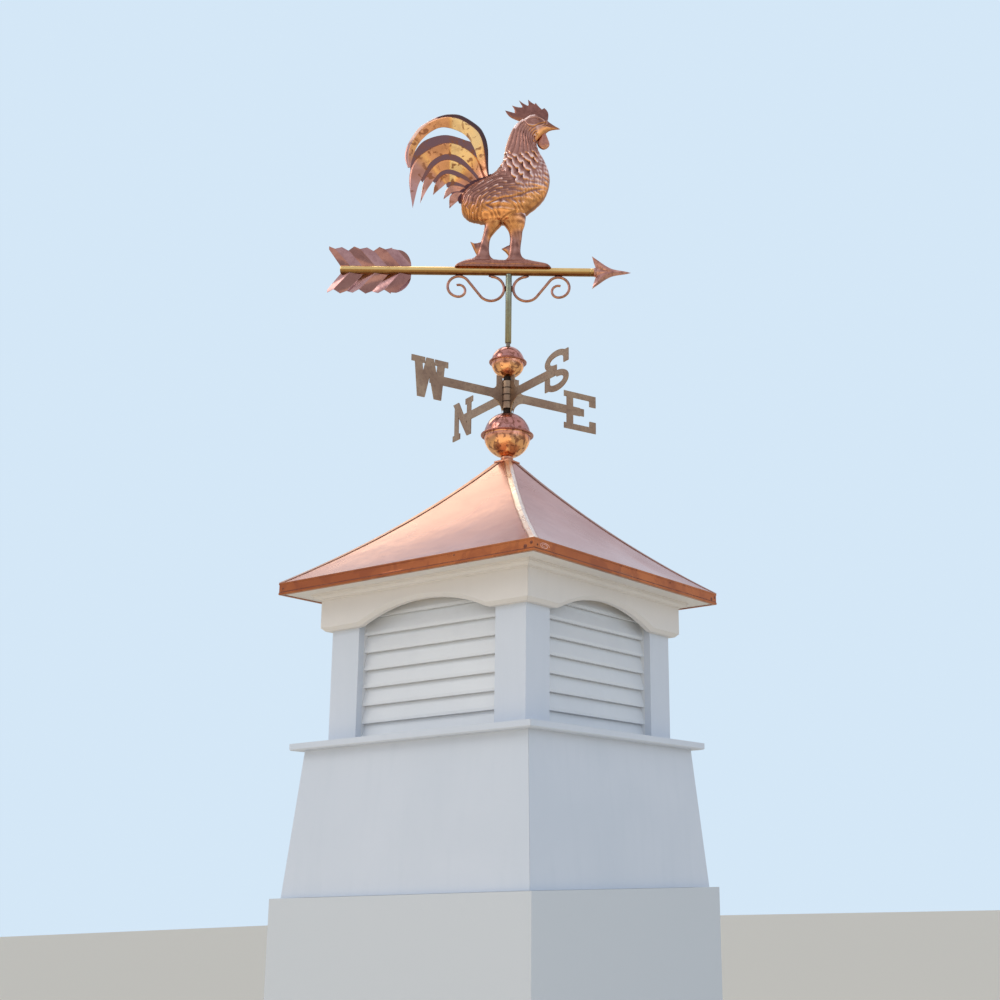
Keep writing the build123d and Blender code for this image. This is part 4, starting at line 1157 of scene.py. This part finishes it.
# %% Legs and spurs
fore_leg = upright_form((-44, 44, 196, 30), (-34, 47, 172, 27), (-16, 44, 146, 20), (-3, 38, 126, 14),
                        (2, 36, 104, 11), (1, 33, 80, 10), (-1, 33, 58, 10), (-4, 40, 43, 10.5),
                        (-14, 58, 33, 11), (-24, 70, 26, 10))
hind_leg = upright_form((-100, 0, 196, 30), (-84, -12, 172, 27), (-71, -22, 146, 20), (-72, -38, 126, 14),
                        (-76, -52, 105, 11), (-82, -56, 84, 10), (-88, -56, 60, 10), (-96, -51, 44, 10.5),
                        (-112, -38, 34, 11), (-126, -28, 26, 10))
hind_spur = spur((-110, 91), (-97, 86), (-78, 91), (-76, 68), (-90, 46), (-100, 67))
fore_spur = spur((-22, 70), (-10, 77), (4, 84), (8, 64), (3, 40), (-8, 57))
leg_points, leg_faces = join_parts(fore_leg, hind_leg, hind_spur, fore_spur)
x, y, z = leg_points.T
shank = 1 - between(z, 138, 400, 22)
leg_relief = crumpled(x, z, 4.4) * (1 - shank) + shank * (0.18 + 0.42 * crumpled(x, 0.5 * z, 3.6))
leg_relief *= 1 - 0.8 * np.exp(-(y / 4.5) ** 4)
put_on_vane("bird_legs", (leg_points, leg_faces), "rooster_copper", bird_copper, ["rooster_body"],
            relief=leg_relief)

# %% [markdown]
# The mound is a strip of sheet bent over the tube like a saddle. Its top line is drawn once, its width
# follows the height, and both flanks are one grid, mirrored.

# %% Mound
mound_foot, mound_half = 9, 17
mound_line = even_line([(-152, 12), (-147, 19), (-134, 28), (-110, 37), (-70, 40), (-24, 35), (10, 37),
                        (47, 38), (70, 33), (103, 26), (114, 19), (120, 12)], 150)
along, rise = mound_line[:, :1], mound_line[:, 1:] - mound_foot
share = np.linspace(0, 1, 31)
width = [(0, 1), (0.16, 1), (0.2, 0.9), (0.26, 0.9), (0.32, 0.98), (0.7, 0.8), (0.93, 0.42), (1, 0)]
bulge = 1 + 0.05 * np.sin(0.11 * along) * np.sin(np.pi * share)
spread = mound_half * np.interp(share, *np.transpose(width)) * np.clip(rise / 12, 0.15, 1) ** 0.5 * bulge
flank = xyz(along, spread, mound_foot + rise * share)
mound = np.concatenate([flank, (flank * [1, -1, 1])[:, -2::-1]], axis=1)
put_on_vane("bird_mound", closed_sheet(mound, mound * [1, 1, 0] + [0, 0, mound_foot]), "rooster_copper",
            leg_copper, ["rooster_body"])

# %% [markdown]
# ## Tail
#
# The tail is pressed too. Every feather is a bent strip between an outer and an inner curve: just inside its
# outer edge it has a crest, and from there its face slopes back. Between two feathers lies a flat groove that
# slopes the other way, so from below the feathers shine and the grooves stay dark.

# %% Strips between two curves
strip_along = 110


def strip(outer, inner, heights, across=13, tip_share=0.35):
    """A closed strip between two curves; heights say how thick it is from the outer edge to the inner one."""
    outer, inner = even_line(outer, strip_along)[:, None], even_line(inner, strip_along)[:, None]
    over = np.linspace(0, 1, across)
    along, up = np.moveaxis(outer + (inner - outer) * over[:, None], -1, 0)
    run = np.linspace(0, 1, strip_along)[:, None]
    half = np.interp(over, *np.transpose(heights)) * (1 - (1 - tip_share) * run ** 3)
    return closed_sheet(xyz(along, -half, up), xyz(along, half, up))


feather_heights = [(0, 3.0), (0.12, 9.0), (0.2, 9.0), (1, 1.6)]
groove_heights = [(0, 1.4), (1, 3.4)]
print("feather from", feather_heights[1][1] * 2, "mm thick to", feather_heights[-1][1] * 2, "mm")

# %% Lines of the feathers and the grooves
feather_lines = [
    ([(-60, 284), (-66, 330), (-72, 380), (-82, 422), (-100, 450), (-142, 480), (-180, 488), (-212, 480),
      (-240, 464), (-266, 434), (-288, 390), (-292, 352), (-288, 324)],
     [(-68, 282), (-84, 318), (-104, 388), (-134, 434), (-188, 455), (-226, 442), (-262, 402), (-280, 352),
      (-284, 322)]),
    ([(-70, 282), (-78, 306), (-96, 356), (-141, 394), (-187, 402), (-238, 378), (-276, 336), (-287, 280),
      (-275, 194)],
     [(-84, 274), (-94, 300), (-140, 355), (-184, 367), (-226, 342), (-250, 292), (-262, 262), (-275, 194)]),
    ([(-86, 272), (-101, 297), (-136, 332), (-177, 349), (-213, 333), (-244, 282), (-254, 211)],
     [(-94, 266), (-112, 286), (-139, 306), (-172, 318), (-200, 308), (-226, 270), (-240, 244), (-254, 211)]),
    ([(-100, 262), (-121, 280), (-145, 293), (-178, 304), (-198, 294), (-214, 268), (-218, 237)],
     [(-106, 254), (-128, 267), (-157, 279), (-178, 276), (-196, 260), (-218, 237)]),
    ([(-108, 248), (-128, 258), (-163, 267), (-181, 252), (-188, 224)],
     [(-112, 238), (-134, 248), (-160, 247), (-174, 236), (-188, 224)]),
    ([(-112, 236), (-132, 244), (-158, 243), (-171, 228), (-171, 195)],
     [(-112, 216), (-130, 225), (-142, 223), (-154, 213), (-171, 195)])]
groove_lines = [
    ([(-68, 284), (-84, 318), (-104, 396), (-130, 414), (-188, 429), (-246, 410), (-274, 372), (-286, 336)],
     [(-72, 282), (-84, 306), (-98, 350), (-141, 390), (-186, 399), (-238, 375), (-274, 334), (-284, 300)]),
    ([(-80, 276), (-90, 304), (-140, 357), (-184, 368), (-226, 344), (-246, 308), (-254, 282)],
     [(-88, 272), (-101, 295), (-136, 328), (-177, 346), (-212, 330), (-236, 300), (-249, 276)]),
    ([(-94, 268), (-110, 288), (-139, 308), (-172, 320), (-200, 310), (-214, 296), (-222, 282)],
     [(-102, 262), (-121, 278), (-145, 290), (-178, 302), (-197, 292), (-206, 284), (-214, 274)]),
    ([(-106, 256), (-126, 268), (-157, 281), (-174, 279), (-182, 272)],
     [(-110, 246), (-128, 256), (-158, 266), (-172, 264), (-180, 262)]),
    ([(-110, 240), (-130, 250), (-156, 250), (-168, 243)],
     [(-112, 232), (-132, 240), (-150, 242), (-160, 238)])]
feather_strips = [strip(*lines, feather_heights) for lines in feather_lines]
groove_strips = [strip(*lines, groove_heights) for lines in groove_lines]
tail_points, tail_faces = join_parts(*feather_strips, *groove_strips)
print("feathers:", len(feather_strips), "grooves:", len(groove_strips))

# %% [markdown]
# Where the sun and the ground catch the curved feathers they shine from yellow to mauve as they bend round,
# so the value that the colour follows, a painted reflection, depends on the angle about the tail's middle.
# Grooves keep the value 0, the darkest colour: painted shade.

# %% Tone round the bend
fan_x, fan_z = -172, 262


def bend_tone(points, *tones):
    """A value for each point, from (degrees about the tail's middle, value) pairs, from -90 to 270."""
    angle = np.degrees(np.arctan2(points[:, 2] - fan_z, points[:, 0] - fan_x))
    return np.interp(np.mod(angle + 90, 360) - 90, *np.transpose(tones))


shine = bend_tone(tail_points, (-20, 0.35), (25, 0.45), (45, 0.70), (60, 0.95), (88, 1.0), (92, 0.64),
                  (118, 0.60), (128, 0.78), (146, 0.40), (180, 0.34))
# The grooves take the darkest colour on the scale: painted shade.
shine[sum(len(points) for points, faces in feather_strips):] = 0
put_on_vane("tail_feathers", (tail_points, tail_faces), "rooster_copper", tail_copper, ["rooster_tail"],
            relief=shine, crease=30)

# %% [markdown]
# A rolled rim runs round the first feather, with a painted highlight only at the top of the bend, and a dark
# strip of painted shade lies where the feathers meet the rump. Both are strips.

# %% Rim, and painted shade at the root
edge_across = 9
rim_heights, root_shade_heights = [(0, 1.5), (0.2, 5.0), (0.6, 6.5), (1, 7.5)], [(0, 6.0), (0.3, 11), (1, 13)]
rim_outside = [(-58, 284), (-62, 330), (-64, 390), (-74, 430), (-94, 461), (-141, 493), (-178, 497),
               (-210, 488), (-240, 470), (-268, 445), (-295, 394), (-301, 355), (-292, 322)]
rim_inside = [(-66, 284), (-72, 330), (-78, 380), (-88, 420), (-104, 446), (-144, 477), (-180, 485),
              (-210, 478), (-236, 462), (-262, 432), (-284, 388), (-290, 352), (-287, 324)]
rim_points, rim_faces = strip(rim_outside, rim_inside, rim_heights, edge_across)
# rim_tone puts a painted highlight on the rim at the top of the bend.
rim_tone = bend_tone(rim_points, (-20, 0.35), (30, 0), (99, 0), (103, 0.95), (124, 0.9), (132, 0.45),
                     (180, 0.35))
rim_tone += 0.22 * np.tile(np.linspace(0, 1, edge_across) ** 2, 2 * strip_along)
put_on_vane("tail_rim", (rim_points, rim_faces), "rooster_copper", rim_copper, ["rooster_tail"],
            relief=rim_tone)
# A strip of very dark copper at the root of the tail: painted shade where the feathers meet the rump.
root_shade_outside = [(-56, 304), (-66, 296), (-92, 288), (-114, 276), (-132, 260), (-144, 244), (-148, 224),
                 (-144, 212)]
root_shade_inside = [(-46, 292), (-62, 284), (-88, 268), (-104, 256), (-118, 244), (-126, 232), (-129, 220),
                (-130, 212)]
put_on_vane("tail_root_shade", strip(root_shade_outside, root_shade_inside, root_shade_heights, edge_across), "rooster_copper",
            root_shade_copper, ["rooster_tail"])

# %% [markdown]
# ## Comb and wattle
#
# Both are flat pieces worked out as fans: the outline is drawn, then shrunk towards a middle point while the
# plate grows thicker. The comb's ribs run from the middle out into its spikes.

# %% Comb
comb_tips = [(-16, 514), (4, 531), (24, 549), (51, 552), (73, 542), (99, 525)]
comb_valleys = [(12, 503), (34, 525), (51, 531), (70, 537), (92, 520)]
nape_line = [(28, 478), (4, 489), (-8, 500), comb_tips[0]]
brow_line = [comb_tips[-1], (108, 514), (111, 500), (107, 480), (92, 470), (62, 466), (40, 470)]
comb_edge = [smooth_line(nape_line, 24)]
for tip, valley, following in zip(comb_tips, comb_valleys, comb_tips[1:]):
    lean = 0.12 * np.hypot(*np.subtract(following, valley))
    bend = np.add(valley, following) / 2 + [lean, 0]
    comb_edge += [smooth_line([tip, np.add(tip, valley) / 2 - [0, 1.5], valley], 14)[1:],
                  smooth_line([valley, bend, following], 14)[1:]]
comb_edge = np.concatenate([*comb_edge, smooth_line(brow_line, 50)[1:]])
spike = np.interp(np.arange(len(comb_edge)), [0, 24, 50, 76, 102, 128, 154, 204], np.arange(8))
comb = fan_plate(comb_edge, (58, 488), lambda share, run: 3.6 * (1 - share ** 5) + 0.6
                 - 0.7 * share * np.cos(2 * np.pi * spike))
put_on_vane("comb", comb, "rooster_copper", comb_copper, ["rooster_comb"])

# %% Wattle
wattle_edge = smooth_line([(100, 449), (108, 428), (114.5, 406), (108, 393), (96.5, 388), (84, 394.5),
                           (78.5, 408), (86, 430), (92, 446), (100, 449)], 90)[:-1]
wattle = fan_plate(wattle_edge, (96, 408), lambda share, run: 7.4 * np.sqrt(np.clip(1 - share ** 2.4, 0, 1))
                   + 0.5 * share * np.sin(30 * run))
put_on_vane("wattle", wattle, "rooster_copper", wattle_copper, ["rooster_comb"])


# %% [markdown]
# Each eye is a small ball of copper set in a round socket. Ball and socket are one profile, turned about the
# mast like a globe, and then laid over so that its axis runs across the head.

# %% Eyes
eye_along, eye_out, eye_height = 81, 16.6, 478


def eye(side):
    """A small ball with a ring round it, turned about the line across the head."""
    profile = [(0, 3.2), (1.6, 2.9), (2.8, 1.8), (3.2, 0.9), (4.1, 1.5), (5.2, 1.2), (5.8, 0), (5.8, -4),
               (0, -4)]
    points, faces = turned(profile, 28, closed=False)
    return points[:, [0, 2, 1]] * [1, side, 1] + [eye_along, side * eye_out, eye_height], faces


put_on_vane("eyes", join_parts(eye(-1), eye(1)), "rooster_copper", comb_copper)

# %% [markdown]
# ## Nails, solder and painted shade lines
#
# What a fitter leaves behind: nail heads along both edges of each hip strip, drops of solder near the ends
# of the drip band and a swirl of bright metal by its near corner. Two dark lines are painted shade: one under
# the fold of the band's hem, and thin rings between the four knuckles that carry the compass arms. A nail
# head is a low dome that points straight out of the sheet, so it is made from its place and its direction.

# %% Heads of nails
nail_radius, nail_rise, nail_inset, strip_skin = 2.3 * mm, 1.1 * mm, 0.8 * mm, 0.9 * mm


def round_head(centre, outward, radius, rise):
    """A low dome at a place, pointing outward: circles that shrink from its rim to its top."""
    outward = outward / np.linalg.norm(outward)
    side = np.cross(outward, [0.0, 0.0, 1.0])
    side /= np.linalg.norm(side)
    other = np.cross(outward, side)
    lift, angle = np.linspace(0, np.pi / 2, 5)[:, None, None], full_circle(12)[:, None]
    flat = np.cos(lift) * radius
    dome = centre + flat * np.cos(angle) * side + flat * np.sin(angle) * other + np.sin(lift) * rise * outward
    base = dome[:1] - 0.6 * mm * outward
    middle = np.broadcast_to(base.mean(axis=1, keepdims=True), base.shape)
    return np.concatenate([middle, base, dome]).reshape(-1, 3), grid_faces(7, 12, join_columns=True)


heads = []
for quarter in range(4):
    for share in np.linspace(0.07, 0.93, 11):
        outward, up = roof_line(share, 0.0)
        edge, slope = outward - 0.78 * hip_leg, roof_slope(share)
        for nail in ([[outward - nail_inset, -edge, up], [np.cos(slope), 0, np.sin(slope)]],
                     [[edge, nail_inset - outward, up], [0, -np.cos(slope), np.sin(slope)]]):
            point, normal = quarter_turned(nail, quarter)
            heads.append(round_head(point + strip_skin * normal, normal, nail_radius, nail_rise))
put_piece("hip_nails", join_parts(*heads), "roof_copper", dark_solder)
print("nails:", len(heads))

# %% [markdown]
# Solder runs into low round drops, so it uses the same dome as the nails, wider and flatter. The hem is a
# fold of the sheet; the shade under its edge is painted as a thin dark line along the band, a small section
# that follows the square.

# %% Solder, and the hem's painted shadow line
drop_places = ((0.979, 770, 4.5), (0.937, 763, 5.5), (-0.965, 766, 3), (0.42, 773, 2.6))
drop_rise = 0.8 * mm
drops = []
for quarter in range(4):
    for along, height, radius in drop_places:
        drop = [[along * half_eave, 0.2 * mm - band_face, height * mm], [0, -1.0, 0]]
        drops.append(round_head(*quarter_turned(drop, quarter), radius * mm, drop_rise))
put_piece("solder_drops", join_parts(*drops), "roof_copper", dark_solder)
# A dark strip under the hem: painted shade.
hem_shade_section = section_at(band_face, band_foot, (-0.85, 6.2), (0.15, 6.2), (0.15, 7.8), (-0.85, 7.8))
put_piece("hem_painted_shade", squared(hem_shade_section, 8), "roof_copper", dark_solder)
print("drops of solder:", len(drops))

# %% [markdown]
# The swirl is a bead of bright metal that was drawn with the soldering iron in less than two turns, each
# smaller than the last. A flat oval carried along a spiral on the face of the band gives it.

# %% The swirl by the near corner
swirl_along, swirl_height = 40 * mm - half_eave, 767 * mm
swirl_length, swirl_rise, swirl_turns = 19 * mm, 7.5 * mm, 1.8
place = np.linspace(0, 1, 110)
shrink, angle = 1 - 0.72 * place, 2 * np.pi * swirl_turns * place
swirl_path = xyz(band_face + 0.1 * mm, swirl_along + swirl_length * shrink * np.cos(angle),
                 swirl_height + swirl_rise * shrink * np.sin(angle))
swirl_side = np.cross(np.gradient(swirl_path, axis=0), [1.0, 0.0, 0.0])
swirl_side /= np.linalg.norm(swirl_side, axis=-1, keepdims=True)
wire = np.stack([0.7 * mm * np.cos(full_circle(8)), 1.2 * mm * np.sin(full_circle(8))], axis=-1)
swirl = carried(swirl_path, [1.0, 0.0, 0.0], swirl_side, np.broadcast_to(wire, (len(place), 8, 2)))
put_piece("corner_swirl", swirl, "roof_copper", head_copper)
print("the swirl is", round(2 * swirl_length * 1000), "mm long")

# %% [markdown]
# The four knuckles are stacked on the mast and each carries one arm. Where two of them meet no light gets in,
# and a joint that narrow shows only as a line, so a thin dark ring of painted shade is laid round each of the
# three joints.

# %% Painted shade at the knuckles' joints
knuckle_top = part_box("hub_spacer")[0][2]
knuckle_height, knuckle_radius = 20 * mm, 17.3 * mm
knuckle_shade_rings = [turned(section_at(knuckle_radius, height, (-1.5, -1.5), (0.3, -1.3), (0.3, 1.3), (-1.5, 1.5)), 48)
         for height in knuckle_top - knuckle_height * np.arange(1, 4)]
put_piece("knuckle_joint_shade", join_parts(*knuckle_shade_rings), "brass_plate", hub_shadow)
print("seams:", len(knuckle_shade_rings))

# %% [markdown]
# ## Stage and light
#
# The camera stands a little lower than the base, so the cupola rests on a pale plinth and the floor lies
# well below it. The light is a bright overcast sky with a warm horizon, and five large soft lamps: one high
# on the left, one on the right, one behind whose glow lies on the roof, one overhead, and one at the floor.

# %% Floor and plinth
floor_level, floor_half = -1.1, 60
plinth_half, plinth_gap = 0.40, 0.0005


def plain_paint(name, colour, roughness):
    """An even paint: its colour and roughness are set on the shader itself."""
    material, tree = new_material(name)
    finish(tree, colour, roughness)
    return material


def stage_block(name, half, low, high, material):
    """A plain block of the stage, from low to high, square in plan."""
    mesh = bpy.data.meshes.new(name)
    work = bmesh.new()
    bmesh.ops.create_cube(work, size=1)
    bmesh.ops.scale(work, vec=(2 * half, 2 * half, high - low), verts=work.verts)
    bmesh.ops.translate(work, vec=(0, 0, (high + low) / 2), verts=work.verts)
    work.to_mesh(mesh)
    work.free()
    mesh.materials.append(material)
    block = bpy.data.objects.new(name, mesh)
    bpy.context.scene.collection.objects.link(block)


floor_paint = plain_paint("pale_floor", (0.80, 0.70, 0.56), 0.8)
plinth_paint = plain_paint("pale_plinth", (0.62, 0.65, 0.68), 0.7)
stage_block("floor", floor_half, floor_level - 0.2, floor_level, floor_paint)
stage_block("plinth", plinth_half, floor_level, -plinth_gap, plinth_paint)
print("the plinth ends", plinth_gap * 1000, "mm below the base")

# %% [markdown]
# The sky has two parts. The camera sees one pale blue, and the polished metal sees a sky drawn by height,
# from a warm horizon to a pale top; what lights the boards is one even blue-white. So the metal can have
# strong reflections without colouring the paint.

# %% Sky
world = bpy.data.worlds.new("overcast")
bpy.context.scene.world = world
world.use_nodes = True
sky = world.node_tree
sky.nodes.clear()
ray = sky.nodes.new("ShaderNodeLightPath").outputs
seen = calculate(sky, "MAXIMUM", ray["Is Camera Ray"], ray["Is Glossy Ray"])
seen = calculate(sky, "MAXIMUM", seen, ray["Is Transmission Ray"])
looking = sky.nodes.new("ShaderNodeTexCoord").outputs["Generated"]
height = add_node(sky, "ShaderNodeSeparateXYZ", {"Vector": looking}).outputs["Z"]
mirrored = ramp(sky, height, (0.0, 1.0, 0.88, 0.68), (0.16, 0.92, 0.86, 0.78), (0.36, 0.66, 0.76, 0.90),
                (0.62, 0.74, 0.76, 0.84), (1.0, 0.84, 0.84, 0.86))
drawn = mix(sky, ray["Is Camera Ray"], mirrored, (0.66, 0.80, 0.93))
shown = add_node(sky, "ShaderNodeBackground", {"Color": drawn, "Strength": 1.0}).outputs[0]
lit = add_node(sky, "ShaderNodeBackground", {"Color": (0.76, 0.86, 1.0), "Strength": 0.80}).outputs[0]
choice = add_node(sky, "ShaderNodeMixShader", {0: seen, 1: lit, 2: shown}).outputs[0]
add_node(sky, "ShaderNodeOutputWorld", {"Surface": choice})
print("sky nodes:", len(sky.nodes))


# %% [markdown]
# Real cloud light comes from everywhere, but it is never quite even. Large square lamps give the brighter
# parts of the sky and the warm light that comes back from the ground; their size keeps every shadow soft.

# %% Lamps
def soft_lamp(name, place, aim, size, power, colour):
    """A square area lamp at a place, turned to face a point."""
    lamp = bpy.data.objects.new(name, bpy.data.lights.new(name, "AREA"))
    lamp.data.size, lamp.data.energy, lamp.data.color = size, power, colour
    lamp.location = place
    lamp.rotation_euler = (Vector(aim) - Vector(place)).to_track_quat("-Z", "Y").to_euler()
    bpy.context.scene.collection.objects.link(lamp)


soft_lamp("key", (-2.6, -4.2, 4.4), (0, 0, 1.0), 3.0, 70, (1.0, 0.93, 0.82))
soft_lamp("fill", (4.8, -0.6, 1.6), (0, 0, 1.1), 2.6, 12, (0.60, 0.80, 1.0))
soft_lamp("roof_glow", (-2.8, 0.5, 4.0), (0, 0, 1.0), 1.3, 14, (1.0, 0.95, 0.62))
soft_lamp("overhead", (-1.2, 0.2, 4.9), (0, 0, 2.0), 1.3, 16, (1.0, 0.95, 0.88))
soft_lamp("ground_bounce", (0.6, -2.2, -1.0), (0, 0, 1.4), 5.0, 40, (1.0, 0.80, 0.56))
print("lamps:", len(bpy.data.lights))
bpy.context.scene.view_settings.view_transform = "Standard"
